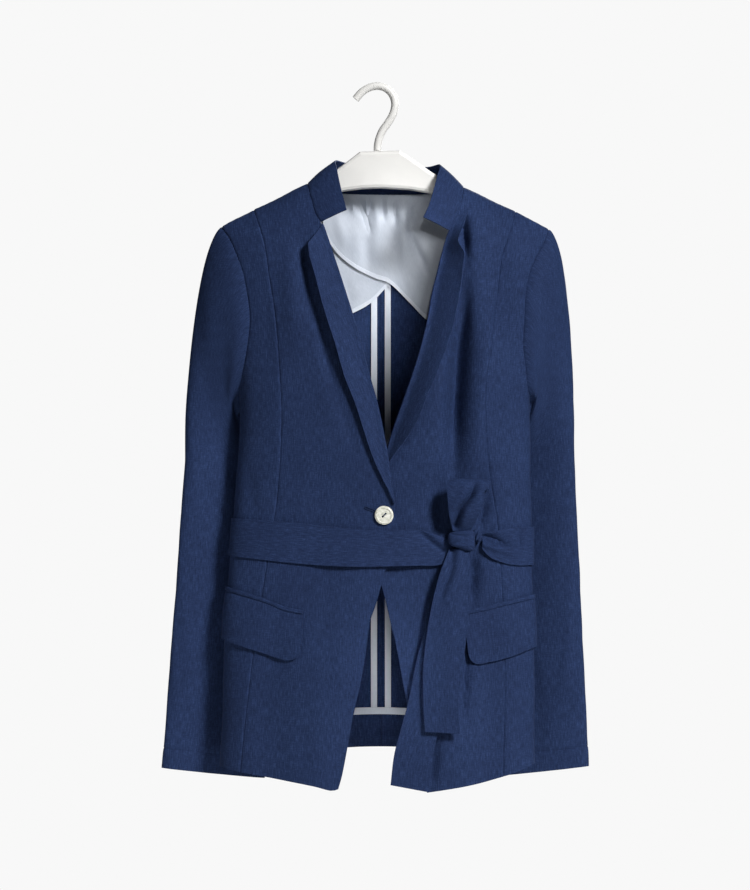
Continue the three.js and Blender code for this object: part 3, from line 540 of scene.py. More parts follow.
def backCentre(side):
    turned = 360 if side < 0 else 0
    return lambda z: along(backAngle(coatSizes["backSeamX"], z) - turned, z, -side * coatSizes["gap"] / 2)


# Low and high edges
def tableEdge(rows, shift=0.0, column=1):
    return lambda x, angle: read(rows, x, column) + shift


def slopedEdge(z, slope=0.0, fromX=0.0):
    return lambda x, angle: z + slope * (x - fromX)


def shoulderTop(x, angle):
    z = read(shoulder, x)
    depth = np.maximum(halfOf(angle, z)[2], 1)
    return z - coatSizes["shoulderRoll"] / 2 * (coatSizes["gap"] / depth) ** 2


def backTop(x, angle):
    onShoulder = (x < neckBack[0][0]) | (x > neckBack[-1][0])
    return np.where(onShoulder, shoulderTop(x, angle), read(neckBack, x))


# The buttoned front stands off the other one, fading towards its side and up and down
lapSizes = {"lift": 4.2, "across": (-75, -15), "low": (-640, -560), "high": (-430, -330)}


def lapLift(x, z):
    upAndDown = soft(z, *lapSizes["low"]) * (1 - soft(z, *lapSizes["high"]))
    return lapSizes["lift"] * soft(x, *lapSizes["across"]) * upAndDown


# Weave of the coat's own panels: upright grain, unrolled round the coat
roundAngles = np.linspace(-270, 270, 721)
roundArc = arcs(coat(roundAngles, coatSizes["waist"])[None], 1)[0]


def coatGrain(place):
    return np.interp(place["angle"], roundAngles, roundArc), place["z"]


# A panel of linen, grooved at its seams; the free edge has none
def coatCloth(name, place, creases, seed, lift=0.0, free=""):
    across = arcs(place["base"], 1)
    x, z = place["x"], place["z"]
    rise = lift + creaseRise(creases, x, z) + unevenness(x, z, seed)
    if free != "start":
        rise = rise + seamGroove(across, z, seed)
    if free != "end":
        rise = rise + seamGroove(across[:, -1:] - across, z, seed + 2)
    rise = rise + seamGroove(fromEdge(place), x, seed + 4)
    cloth(name, raised(place, rise), linen, coatGrain(place))


# Looks
def toLinear(red, green, blue):
    values = [c / 255 for c in (red, green, blue)]
    return tuple(c / 12.92 if c <= 0.04045 else ((c + 0.055) / 1.055) ** 2.4 for c in values) + (1,)


def newLook(name):
    look = bpy.data.materials.new(name)
    look.use_nodes = True
    tree = look.node_tree
    return look, tree.nodes, tree.links, tree.nodes["Principled BSDF"]


def noise(nodes, links, source, scale, detail=2.0, rough=0.55):
    place = nodes.new("ShaderNodeMapping")
    place.inputs["Scale"].default_value = scale
    links.new(source, place.inputs["Vector"])
    grain = nodes.new("ShaderNodeTexNoise")
    grain.inputs["Scale"].default_value = 1
    grain.inputs["Detail"].default_value = detail
    grain.inputs["Roughness"].default_value = rough
    links.new(place.outputs["Vector"], grain.inputs["Vector"])
    return grain.outputs["Fac"]


def weaveOf(nodes):
    weave = nodes.new("ShaderNodeUVMap")
    weave.uv_map = "weave"
    return weave.outputs["UV"]


def weighted(nodes, links, parts):
    total = None
    for output, weight in parts:
        scaled = nodes.new("ShaderNodeMath")
        scaled.operation = "MULTIPLY_ADD"
        links.new(output, scaled.inputs[0])
        scaled.inputs[1].default_value = weight
        scaled.inputs[2].default_value = 0
        if total is not None:
            links.new(total, scaled.inputs[2])
        total = scaled.outputs[0]
    return total


def ramp(nodes, links, source, stops):
    colours = nodes.new("ShaderNodeValToRGB")
    elements = colours.color_ramp.elements
    elements[0].position, elements[0].color = stops[0]
    elements[1].position, elements[1].color = stops[-1]
    for position, colour in stops[1:-1]:
        elements.new(position).color = colour
    links.new(source, colours.inputs["Fac"])
    return colours.outputs["Color"]


def bump(nodes, links, source, surface, strength, distance):
    relief = nodes.new("ShaderNodeBump")
    relief.inputs["Strength"].default_value = strength
    relief.inputs["Distance"].default_value = distance
    links.new(source, relief.inputs["Height"])
    links.new(relief.outputs["Normal"], surface.inputs["Normal"])


linenLook = {
    "shades": {0.38: toLinear(22, 34, 64), 0.5: toLinear(31, 46, 80), 0.62: toLinear(45, 63, 103)},
    "slubAcross": 880,  # threads to the metre, as they show
    "slubAlong": 100,
    "fine": 1500,
    "roughness": 0.86,
    "sheen": 0.04,
}


def linenFor(name, alongUp=True, tone=1.0):
    look, nodes, links, surface = newLook(name)
    source = weaveOf(nodes)
    wide, long, fine = linenLook["slubAcross"], linenLook["slubAlong"], linenLook["fine"]
    warp = noise(nodes, links, source, (wide, long, 1) if alongUp else (long, wide, 1), 3, 0.6)
    weft = noise(nodes, links, source, (long * 2, wide, 1) if alongUp else (wide, long * 2, 1), 2, 0.6)
    small = noise(nodes, links, source, (fine, fine, 1), 1, 0.5)
    cloudy = noise(nodes, links, source, (14, 9, 1), 3, 0.6)
    threads = weighted(nodes, links, [(warp, 0.42), (weft, 0.22), (small, 0.24), (cloudy, 0.12)])
    stops = [(at, [c * tone for c in shade[:3]] + [1]) for at, shade in linenLook["shades"].items()]
    links.new(ramp(nodes, links, threads, stops), surface.inputs["Base Color"])
    surface.inputs["Roughness"].default_value = linenLook["roughness"]
    surface.inputs["Specular IOR Level"].default_value = 0.14
    surface.inputs["Sheen Weight"].default_value = linenLook["sheen"]
    surface.inputs["Sheen Roughness"].default_value = 0.45
    surface.inputs["Sheen Tint"].default_value = toLinear(120, 145, 200)
    bump(nodes, links, threads, surface, 0.5, 0.0006)
    return look


def satinFor(name, low, high, roughness):
    look, nodes, links, surface = newLook(name)
    source = weaveOf(nodes)
    threads = noise(nodes, links, source, (1900, 160, 1), 2, 0.5)
    cloudy = noise(nodes, links, source, (22, 16, 1), 3, 0.55)
    both = weighted(nodes, links, [(threads, 0.35), (cloudy, 0.65)])
    links.new(ramp(nodes, links, both, [(0.35, low), (0.65, high)]), surface.inputs["Base Color"])
    surface.inputs["Roughness"].default_value = roughness
    surface.inputs["Sheen Weight"].default_value = 0.08
    surface.inputs["Specular IOR Level"].default_value = 0.4
    bump(nodes, links, both, surface, 0.25, 0.0006)
    return look


def plasticFor(name, colour, roughness):
    look, nodes, links, surface = newLook(name)
    place = nodes.new("ShaderNodeTexCoord")
    mottle = noise(nodes, links, place.outputs["Object"], (60, 60, 60), 3, 0.6)
    grain = noise(nodes, links, place.outputs["Object"], (900, 900, 900), 1, 0.5)
    tint = [c * 0.97 for c in colour[:3]] + [1]
    links.new(ramp(nodes, links, mottle, [(0.3, tint), (0.7, colour)]), surface.inputs["Base Color"])
    rough = nodes.new("ShaderNodeMapRange")
    rough.inputs["To Min"].default_value = roughness - 0.05
    rough.inputs["To Max"].default_value = roughness + 0.07
    links.new(mottle, rough.inputs["Value"])
    links.new(rough.outputs["Result"], surface.inputs["Roughness"])
    bump(nodes, links, grain, surface, 0.02, 0.0002)
    return look


def shellFor(name):
    look, nodes, links, surface = newLook(name)
    place = nodes.new("ShaderNodeTexCoord")
    swirl = noise(nodes, links, place.outputs["Object"], (240, 240, 420), 4, 0.65)
    colour = ramp(nodes, links, swirl, [
        (0.3, toLinear(176, 178, 166)), (0.5, toLinear(226, 226, 214)), (0.72, toLinear(244, 242, 236)),
    ])
    links.new(colour, surface.inputs["Base Color"])
    surface.inputs["Roughness"].default_value = 0.22
    surface.inputs["Coat Weight"].default_value = 0.4
    bump(nodes, links, swirl, surface, 0.15, 0.0003)
    return look


linen = linenFor("navyLinen")
linenAcross = linenFor("navyLinenAcross", alongUp=False)
threadLook = linenFor("navyThread", tone=0.75)
satin = satinFor("greySatin", toLinear(168, 176, 189), toLinear(196, 203, 214), 0.5)
tapeLook = satinFor("paleTape", toLinear(192, 199, 211), toLinear(212, 217, 226), 0.5)
whitePlastic = plasticFor("whitePlastic", toLinear(226, 225, 222), 0.42)
shell = shellFor("paleShell")
print("looks ready")


# Camera and light
cameraSizes = {"lens": 135, "x": -4.6, "z": -410, "frameHeight": 1023.5, "sensor": 36, "planeY": -20}
camera = bpy.data.cameras.new("camera")
camera.lens = cameraSizes["lens"]
camera.sensor_fit = "VERTICAL"
camera.sensor_height = cameraSizes["sensor"]
eye = addObject("camera", camera)
eyeAway = cameraSizes["frameHeight"] * cameraSizes["lens"] / cameraSizes["sensor"]
eye.location = Vector((cameraSizes["x"], cameraSizes["planeY"] - eyeAway, cameraSizes["z"])) * mm
eye.rotation_euler = (math.radians(90), 0, 0)
bpy.context.scene.camera = eye

lightSizes = {
    "key": {"at": (2.35, -3.1, 1.9), "aim": (0.0, 0.0, -0.42), "size": 0.95, "power": 250},
    "fill": {"at": (-3.1, -1.7, 0.1), "aim": (0.0, 0.0, -0.45), "size": 1.4, "power": 13},
    "rim": {"at": (0.9, 3.1, 0.9), "aim": (0.0, 0.0, -0.4), "size": 1.4, "power": 130},
}
# Narrow beams through the neck, under the skirt and on the left sleeve; from three places for soft shadows
beamSizes = {
    "neckBeam": {
        "from": (0.15, 0.5, 0.85), "y": -2.5, "z": 0.15, "aim": (0.024, 0.03, -0.22),
        "wide": 0.068, "high": 0.15, "power": 57,
    },
    "skirtBeam": {
        "from": (0.0, 0.2, 0.4), "y": -2.5, "z": -0.4, "aim": (0.008, 0.03, -0.67),
        "wide": 0.035, "high": 0.11, "power": 60,
    },
    "sleeveBeam": {
        "from": (-1.3,), "y": -2.9, "z": -0.1, "aim": (-0.215, 0, -0.58),
        "wide": 0.06, "high": 0.42, "power": 75,
    },
}
beamRadius = 0.05


def placeLight(name, lamp, at, aim):
    holder = addObject(name, lamp)
    holder.location = at
    holder.rotation_euler = (Vector(aim) - Vector(at)).to_track_quat("-Z", "Y").to_euler()
    return holder


for name, facts in lightSizes.items():
    lamp = bpy.data.lights.new(name, "AREA")
    lamp.size = facts["size"]
    lamp.energy = facts["power"]
    placeLight(name, lamp, facts["at"], facts["aim"])
for name, facts in beamSizes.items():
    for x in facts["from"]:
        at = (x, facts["y"], facts["z"])
        lamp = bpy.data.lights.new(name, "SPOT")
        lamp.spot_size = 2 * math.atan(facts["high"] / (Vector(facts["aim"]) - Vector(at)).length)
        lamp.spot_blend = 1
        lamp.shadow_soft_size = beamRadius
        lamp.energy = facts["power"]
        placeLight(name, lamp, at, facts["aim"]).scale = (facts["wide"] / facts["high"], 1, 1)

# The world lights a little and shows as a pale wall
worldSizes = {"strength": 0.022, "shown": toLinear(248, 248, 248)}
world = bpy.data.worlds.new("studio")
bpy.context.scene.world = world
world.use_nodes = True
sky = world.node_tree
seen = sky.nodes.new("ShaderNodeLightPath")
lit = sky.nodes["Background"]
lit.inputs["Color"].default_value = (1, 1, 1, 1)
lit.inputs["Strength"].default_value = worldSizes["strength"]
shown = sky.nodes.new("ShaderNodeBackground")
shown.inputs["Color"].default_value = worldSizes["shown"]
both = sky.nodes.new("ShaderNodeMixShader")
sky.links.new(seen.outputs["Is Camera Ray"], both.inputs["Fac"])
sky.links.new(lit.outputs[0], both.inputs[1])
sky.links.new(shown.outputs[0], both.inputs[2])
sky.links.new(both.outputs[0], sky.nodes["World Output"].inputs["Surface"])
bpy.context.scene.view_settings.view_transform = "Standard"

floorSizes = {"radius": 1.2, "z": -1.12}
bm = bmesh.new()
bmesh.ops.create_circle(bm, cap_ends=True, segments=96, radius=floorSizes["radius"])
bmesh.ops.translate(bm, verts=bm.verts, vec=(0, 0, floorSizes["z"]))
floorMesh = bpy.data.meshes.new("floor")
bm.to_mesh(floorMesh)
bm.free()
floorMesh.materials.append(plasticFor("paleFloor", toLinear(238, 238, 236), 0.7))
addObject("floor", floorMesh)
print("camera, light and floor ready")


# Fronts, side fronts and backs
lapelSizes = {
    "lift": 1.96,
    "wall": 1.5,
    "fromFold": 0.3,
    "turns": 7,  # round the fold
    "bend": 0.86,  # of half a turn
    "standing": (-450, -240),  # heights over which the free edge comes to stand off
    "tip": (-182, -150),
    "press": (4.5, 1.8, 0.35),  # pressed line along the fold: place, half width, depth
    "rollWide": 14,  # how far the front turns in beside the fold
    "rollLow": (-455, -395),
    "rollHigh": (-190, -150),
}
lapels = {
    "Left": {"free": 9, "roll": 2, "tip": 0, "seed": 51},
    "Right": {"free": 12.5, "roll": 11, "tip": 0.75, "seed": 52},
}
halfGap = coatSizes["gap"] / 2


# The front turns in softly towards the fold of its lapel
def neckRoll(away, z, deep):
    upAndDown = soft(z, *lapelSizes["rollLow"]) * (1 - soft(z, *lapelSizes["rollHigh"]))
    return deep * gauss(away, lapelSizes["rollWide"]) * upAndDown


place = panel(
    edgeAngle(princessLeft, halfGap), edgeAngle(frontEdgeLeft), tableEdge(hemLeft), shoulderTop, 125, 660
)
away = arcs(place["base"], 1)
away = away[:, -1:] - away
lift = lapLift(place["x"], place["z"]) - neckRoll(away, place["z"], lapels["Left"]["roll"])
coatCloth("frontLeft", place, frontCreases, 11, lift, free="end")
place = panel(
    edgeAngle(frontEdgeRight), edgeAngle(princessRight, -halfGap), tableEdge(hemRight), shoulderTop, 115, 660
)
lift = -neckRoll(arcs(place["base"], 1), place["z"], lapels["Right"]["roll"])
coatCloth("frontRight", place, frontCreases, 12, lift, free="start")
coatCloth("sideFrontLeft", panel(
    sideEdge(armholeFrontLeft, -1, False), edgeAngle(princessLeft, -halfGap),
    tableEdge(hemLeft), shoulderTop, 70, 640,
), frontCreases, 13)
coatCloth("sideFrontRight", panel(
    edgeAngle(princessRight, halfGap), sideEdge(armholeFrontRight, 1, False),
    tableEdge(hemRight), shoulderTop, 75, 640,
), frontCreases, 14)
coatCloth("backRight", panel(
    sideEdge(armholeBackRight, 1, True), backCentre(1), tableEdge(hemBack), backTop, 185, 650
), backCreases, 15)
coatCloth("backLeft", panel(
    backCentre(-1), sideEdge(armholeBackLeft, -1, True), tableEdge(hemBack), backTop, 185, 650
), backCreases, 16)
print("body of the coat ready")


# Sleeves
sleeveSizes = {
    "capShare": 0.48, "underarmTurn": 105, "innerSeam": 0.56, "outerSeam": 0.84, "gap": 0.0001,
    "girth": 290, "length": 660, "tube": 350, "step": 4.2, "hem": 23, "stitch": 2.6,
    "hemRows": (-1.6, -0.8, 0, 0.8, 1.6), "hemTurn": 0.35, "hemDip": 0.95, "middle": 0.7,
    "clearAcross": 0.004, "clearUp": 0.0042,  # least shares between a placed row and the next
}
sleeveTables = {
    -1: (sleeveLeftRows, armholeFrontLeft, armholeBackLeft),
    1: (sleeveRightRows, armholeFrontRight, armholeBackRight),
}


# A point of the sleeve's tube: a turn of 0 degrees is its outer edge
def sleeveRing(rows, z, turn):
    outer = np.stack([read(rows, z, 1), read(rows, z, 2)], axis=-1)
    inner = np.stack([read(rows, z, 3), read(rows, z, 4)], axis=-1)
    reach = (outer - inner) / 2
    ahead = unit(np.stack([reach[..., 1], -reach[..., 0]], axis=-1))
    ahead = np.where(ahead[..., 1:] > 0, -ahead, ahead)
    across = np.cos(np.radians(turn))
    spot = (outer + inner) / 2 + reach * across[..., None]
    spot = spot + ahead * (read(rows, z, 5) * np.sin(np.radians(turn)))[..., None]
    return np.stack([spot[..., 0], spot[..., 1], z - read(rows, z, 6) * (1 - across) / 2], axis=-1)


# Points of the sleeve: a tube up to the cap, then bent over to meet the armhole
def sleevePoints(side, around, up):
    rows, armholeFront, armholeBack = sleeveTables[side]
    around, up = np.broadcast_arrays(around, up)
    share = around % 1
    under = sleeveSizes["underarmTurn"]
    turn = np.where(share <= 0.5, share / 0.5 * under, mix(under, 360, (share - 0.5) / 0.5))
    cuff, full, cap = rows[0][0], rows[-1][0], sleeveSizes["capShare"]
    ring = sleeveRing(rows, mix(cuff, full, np.clip(up / (1 - cap), 0, 1)), turn)
    onBack = share > 0.5
    topFront = read(shoulder, armholeFront[-1][1]) - 0.5
    topBack = read(shoulder, armholeBack[-1][1]) - 0.5
    fall = 1 - np.abs(1 - 2 * share)
    z = mix(np.where(onBack, topBack, topFront), coatSizes["underarm"], (1 - np.cos(fall * math.pi)) / 2)
    angle = np.where(onBack, sideEdge(armholeBack, side, True)(z), sideEdge(armholeFront, side, False)(z))
    start = coat(angle, z)
    facing, upwards = np.sin(share * 2 * math.pi), np.cos(share * 2 * math.pi)
    outward = unit(np.stack([
        0.95 * side + 0 * facing,
        -0.33 * np.maximum(facing, 0) + 0.75 * np.maximum(-facing, 0) + 0.25 * np.maximum(-upwards, 0),
        -0.25 - 0.2 * upwards,
    ], axis=-1))
    end = sleeveRing(rows, np.full(share.shape, float(full)), turn)
    spread = (16 + 10 * np.abs(facing) + 4 * np.maximum(upwards, 0))[..., None]
    start = start + outward * 0.3 - outwards(angle, z) * (1.3 * (up > 0.9999))[..., None]
    leave = start + outward * spread
    arrive = end.copy()
    arrive[..., 2] += 0.52 * np.linalg.norm(start - end, axis=-1)
    t = np.clip((1 - up) / cap, 0, 1)[..., None]
    u = 1 - t
    head = start * u ** 3 + leave * 3 * u * u * t + arrive * 3 * u * t * t + end * t ** 3
    return np.where((up <= 1 - cap)[..., None], ring, head)


# The part of a sleeve between two shares of its way round; under 0 it goes over the shoulder
def sleeve(name, side, fromRound, toRound, seed):
    g = sleeveSizes
    s = shares((toRound - fromRound) * g["girth"], g["step"])
    if fromRound < 0:
        shoulderAt = -fromRound / (toRound - fromRound)
        s = np.sort(np.append(s[np.abs(s - shoulderAt) > g["clearAcross"]], shoulderAt))
    t = shares(g["length"], g["step"], low=False)
    hemAt = g["hem"] / g["tube"] * (1 - g["capShare"])
    near = hemAt + np.array(g["hemRows"]) / g["length"]
    t = np.sort(np.concatenate([t[np.abs(t - hemAt) > g["clearUp"]], near]))[:, None]
    around = mix(fromRound, toRound, s)
    around = (around if side < 0 else around[::-1])[None, :]
    points = sleevePoints(side, around, t)
    out = normalsOf(points)
    z = points[..., 2]
    share = np.where(around < 0, around + 1, around) * np.ones_like(z)
    across, up = arcs(points, 1), arcs(points, 0)
    rise = creaseRise(sleeveCreases, share, z, g["girth"]) + unevenness(share * g["girth"], z, seed)
    rise = rise + seamGroove(across, z, seed) + seamGroove(across[:, -1:] - across, z, seed + 1)
    rise = rise + seamGroove(up[-1:] - up, across, seed + 2)
    hemAway = up - g["hem"]
    stitches = 0.75 + 0.25 * np.sin(across * fullTurn / g["stitch"])
    rise = rise + g["hemTurn"] * (1 - soft(hemAway, -1.5, 1.5)) - g["hemDip"] * stitches * gauss(hemAway, 1)
    middle = int(np.argmin(np.abs(around[0] - (0 if fromRound < 0 else g["middle"]))))
    cloth(name, points + out * rise[..., None], linen, (across - across[:, middle:middle + 1], z))


innerSeam, outerSeam, seamGap = sleeveSizes["innerSeam"], sleeveSizes["outerSeam"], sleeveSizes["gap"]
for word, side in (("Left", -1), ("Right", 1)):
    sleeve("upperSleeve" + word, side, outerSeam - 1 + seamGap, innerSeam - seamGap, 20 + side)
    sleeve("underSleeve" + word, side, innerSeam + seamGap, outerSeam - seamGap, 30 + side)
print("sleeves ready")


# Stand collar
collarSizes = {
    "footGap": 0.3, "wall": 2, "around": 300, "height": 36, "bow": 0.9,
    "left": (-155, -108.8), "back": (-83, 98), "right": (-113.3, -165),
}


# Its foot, by place: 0 to 1 up the left front edge, 1 to 2 round the back, 2 to 3 down the right one
def neckline(place):
    part = np.clip(np.floor(place), 0, 2)
    share = place - part
    backX = mix(*collarSizes["back"], (1 - np.cos(share * math.pi)) / 2)
    backZ = read(neckBack, backX)
    leftZ, rightZ = mix(*collarSizes["left"], share), mix(*collarSizes["right"], share)
    back = coat(angleAt(backX, backZ, True), backZ)
    left = coat(angleAt(read(frontEdgeLeft, leftZ), leftZ), leftZ)
    right = coat(angleAt(read(frontEdgeRight, rightZ), rightZ), rightZ)
    return np.where((part == 1)[..., None], back, np.where((part == 0)[..., None], left, right))


def collar():
    around = (3 * (1 - shares(collarSizes["around"], 3, (0.6, 1.5))))[None, :]
    up = shares(collarSizes["height"], 2.4, (0.5, 1.1, 1.9), high=False)[:, None]
    foot = neckline(around)
    top = np.stack([read(collarTop, around, k) for k in (1, 2, 3)], axis=-1)
    foot = foot + unit(top - foot) * collarSizes["footGap"]
    points = foot + (top - foot) * up[..., None]
    across, fromFoot = arcs(points, 1), arcs(points, 0)
    rise = collarSizes["bow"] * np.sin(np.pi * up) + 0.6 * unevenness(across, fromFoot, 41)
    rise = rise + seamGroove(fromFoot, across, 3)
    points = points + normalsOf(points) * rise[..., None]
    cloth("standCollar", points, linenAcross, thick=collarSizes["wall"])


collar()
print("collar ready")


# A pressed or stitched line: how deep it is at a distance from an edge
def pressed(distance, place, halfWidth, deep):
    return deep * gauss(distance - place, halfWidth)


# Lapels, rolled over at the front edges
def lapel(word, place):
    facts, left = lapels[word], word == "Left"
    s, x, z = place["s"], place["x"], place["z"]
    toFold = s if left else 1 - s
    away = (1 - toFold) * arcs(place["base"], 1)[:, -1:]
    tip = 1 - facts["tip"] * soft(z, *lapelSizes["tip"])
    standing = facts["free"] * (1 - toFold) ** 1.3 * (0.35 + 0.65 * soft(z, *lapelSizes["standing"]))
    rise = (lapLift(x, z) if left else 0) + (lapelSizes["lift"] + standing) * tip
    rise = rise + 0.5 * unevenness(x, z, facts["seed"]) - pressed(away, *lapelSizes["press"])
    rise = rise - neckRoll(away, z, facts["roll"])
    fold, beside = (-1, -2) if left else (0, 1)
    radius = lapelSizes["lift"] / 2 * tip[:, fold]
    foldLine = place["base"][:, fold]
    way = unit(foldLine - place["base"][:, beside])
    rolled = []
    for k in range(1, lapelSizes["turns"] + 1):
        turn = math.pi * lapelSizes["bend"] * k / lapelSizes["turns"]
        aside = way * (radius * math.sin(turn))[:, None]
        height = rise[:, fold] - radius * (1 - math.cos(turn))
        rolled.append(foldLine + aside + place["out"][:, fold] * height[:, None])
    rolled, points = np.stack(rolled, axis=1), raised(place, rise)
    points = np.concatenate([points, rolled] if left else [rolled[:, ::-1], points], axis=1)
    cloth("lapel" + word, points, linen, thick=lapelSizes["wall"])


lapel("Left", panel(
    edgeAngle(lapelEdgeLeft), edgeAngle(frontEdgeLeft, lapelSizes["fromFold"]), slopedEdge(-476),
    slopedEdge(-180, 1.45, -80), 30, 300, 2.6,
))
lapel("Right", panel(
    edgeAngle(frontEdgeRight, -lapelSizes["fromFold"]), edgeAngle(lapelEdgeRight), slopedEdge(-452),
    slopedEdge(-147, 0.3, 92), 30, 300, 2.4,
))
print("lapels ready")


# Belt, pocket flaps and welts are strips along the coat
beltSizes = {
    "wall": 2, "rise": 2.19, "wide": 42,
    "lowStitch": (3.4, 0.9, 0.3), "topStitch": (3.2, 0.9, 0.25),  # place, half width, depth
}
pocketSizes = {
    "rise": 1.9, "size": (105, 56), "flapOut": 1.6, "crown": 0.9, "stitch": (4.2, 0.9, 0.25),
    "weltOut": 0.3, "weltHigh": 4.3, "weltUp": 0.7, "weltCrown": 0.5,
}
beltCreases = {
    "Front": [
        (-150, -513, 40, -519, 2.4, -0.55), (-120, -526, -30, -531, 2.2, 0.4),
        (-60, -508, 44, -512, 2, 0.4), (-165, -505, -110, -508, 2.4, 0.35), (-20, -537, 56, -538, 2.6, -0.4),
        (-140, -534, -90, -538, 2, -0.3), (44, -508, 84, -541, 3.2, -3), (42, -501, 84, -529, 2.8, 2),
        (28, -543, 82, -541, 2.6, 0.9),
    ],
    "Side": [
        (113, -512, 146, -526.5, 4, -8), (108, -519.5, 156, -536, 3.4, 3.4), (112, -507, 150, -511, 4, 2.2),
        (159.5, -502, 160.5, -538, 3.6, -3.2), (151, -512, 152, -530, 4.5, 2.2),
        (168, -512, 176, -515, 3, 0.5), (170, -528, 190, -527, 2.6, -0.5),
    ],
    "Back": [
        (-140, -512, 20, -515, 2.4, -0.6), (-40, -528, 130, -531, 2.4, 0.5),
        (60, -511, 165, -513, 2.6, -0.5), (-165, -530, -70, -533, 2.4, 0.45),
    ],
}


def strip(rows, start, end, width, height, step=2.6):
    return panel(start, end, tableEdge(rows), tableEdge(rows, column=2), width, height, step)


# A stretch of the belt on its own rise, with a line of stitches along its lower edge
def beltCloth(word, place, rise, seed, rough=0.5):
    x, z = place["x"], place["z"]
    rise = beltSizes["rise"] + rise + creaseRise(beltCreases[word], x, z)
    rise = rise + rough * unevenness(x, z, seed) - pressed(fromEdge(place, False), *beltSizes["lowStitch"])
    cloth("belt" + word, raised(place, rise), linenAcross, thick=beltSizes["wall"])


sideSeam, beltWide = coatSizes["sideSeam"], beltSizes["wide"]
place = strip(beltFrontRows, atAngle(-sideSeam, coatSizes["gap"]), uprightAt(84), 300, beltWide, 2.2)
x, toKnot = place["x"], soft(place["x"], 44, 76)
rise = lapSizes["lift"] * soft(x, -95, -25) * (1 - soft(x, 24, 62))  # over the buttoned front
rise = rise + 2.6 * (1 - place["t"]) ** 2 * soft(x, -90, -30) + 1.2 * toKnot
rise = rise - pressed(fromEdge(place), *beltSizes["topStitch"]) * (1 - toKnot)
beltCloth("Front", place, rise, 61)
place = strip(beltSideRows, uprightAt(117), atAngle(sideSeam, -coatSizes["gap"]), 80, beltWide, 2)
beltCloth("Side", place, 0.5 + 1.6 * (1 - soft(place["x"], 118, 140)), 62)
place = strip(beltBackRows, atAngle(sideSeam), atAngle(360 - sideSeam), 390, beltWide, 3)
beltCloth("Back", place, 0.3 + 0.8 * (1 - place["t"]) ** 2, 63, rough=0.6)
print("belt ready")


# A flap that stands off towards its free edges, and the welt above it
def pocket(word, rows, start, end, seed):
    p = pocketSizes
    place = strip(rows, start, end, *p["size"])
    x, z, t = place["x"], place["z"], place["t"]
    fromLow, side = fromEdge(place, False), arcs(place["base"], 1)
    free = side[:, -1:] - side if word == "Left" else side
    rise = p["rise"] + p["flapOut"] * (1 - t) + p["crown"] * np.sin(np.pi * t) * soft(free, 0, 20)
    rise = rise + 0.5 * unevenness(x, z, seed) - 0.8 * gauss(fromEdge(place), 1.8)
    rise = rise - pressed(fromLow, *p["stitch"]) - pressed(free, *p["stitch"]) * soft(fromLow, 3, 6)
    cloth("pocketFlap" + word, raised(place, rise), linen, coatGrain(place))
    foot = p["weltUp"]
    welt = [(row[0], row[2] + foot, row[2] + foot + p["weltHigh"]) for row in rows]
    band = strip(welt, start, end, p["size"][0], 5, 1.6)
    roll = p["weltCrown"] * np.sin(np.pi * band["t"]) + 0.3 * unevenness(band["x"], band["z"], seed + 1)
    cloth("pocketWelt" + word, raised(band, p["rise"] + p["weltOut"] + roll), linenAcross)


pocket("Left", flapLeftRows, atAngle(-91), uprightAt(-87), 64)
pocket("Right", flapRightRows, uprightAt(99), atAngle(91), 67)
print("pockets ready")


# A power of a value that keeps its sign
def signed(value, power):
    return np.sign(value) * np.abs(value) ** power


# Knot of the bow: two pulled-up lumps of cloth. Each groove: height, slope, half width, rise, and the side
# where it is full, 1 for the right
def lump(name, sizes, grooves):
    a = np.linspace(0, 2 * math.pi, 73)[None, :]
    b = np.linspace(-math.pi / 2, math.pi / 2, 41)[:, None]
    ring = np.abs(np.cos(b)) ** sizes["boxy"]
    x = -sizes["wide"] * ring * signed(np.cos(a), sizes["round"])
    y = -sizes["deep"] * ring * signed(np.sin(a), sizes["round"])
    z = sizes["high"] * signed(np.sin(b), sizes["boxy"]) + 0 * a
    z = z * (1 + sizes["flare"] * x / sizes["wide"]) - sizes["tilt"] * x
    fade = sizes["fade"]
    rise = np.clip(-y / sizes["deep"], 0, 1) * sum(
        tall * gauss(z - high - slope * x, wide) * (1 - fade + fade * soft(x * toward, -8, 8))
        for high, slope, wide, tall, toward in grooves
    )
    points = np.stack([x, y - rise, z], axis=-1) + np.array(sizes["centre"])
    cloth(name, points, linenAcross, closed=True)


lump("beltKnot", {
    "centre": (94, -50.3, -518), "wide": 15.4, "deep": 9, "high": 10.6, "boxy": 0.46, "round": 0.7,
    "tilt": 0.08, "flare": 0.3, "fade": 0.7,
}, [
    (-3.5, 0.14, 1.2, -1.8, 1), (1, 0.06, 1.8, 1, 1), (4.6, -0.16, 1.1, -1.5, -1), (-6.8, 0.04, 1.2, 1, 1),
    (7.2, 0, 1.4, 0.8, 1), (-0.8, 0.32, 0.9, -1.1, -1),
])
lump("beltKnotFold", {
    "centre": (112.1, -44.9, -513.6), "wide": 5.4, "deep": 5.4, "high": 7, "boxy": 0.8, "round": 0.9,
    "tilt": 0.3, "flare": 0, "fade": 0,
}, [(0, 1.9, 2.2, 1, 1), (-5, 1.6, 1.8, -1.3, 1), (5, 2.2, 1.9, -1.3, 1)])


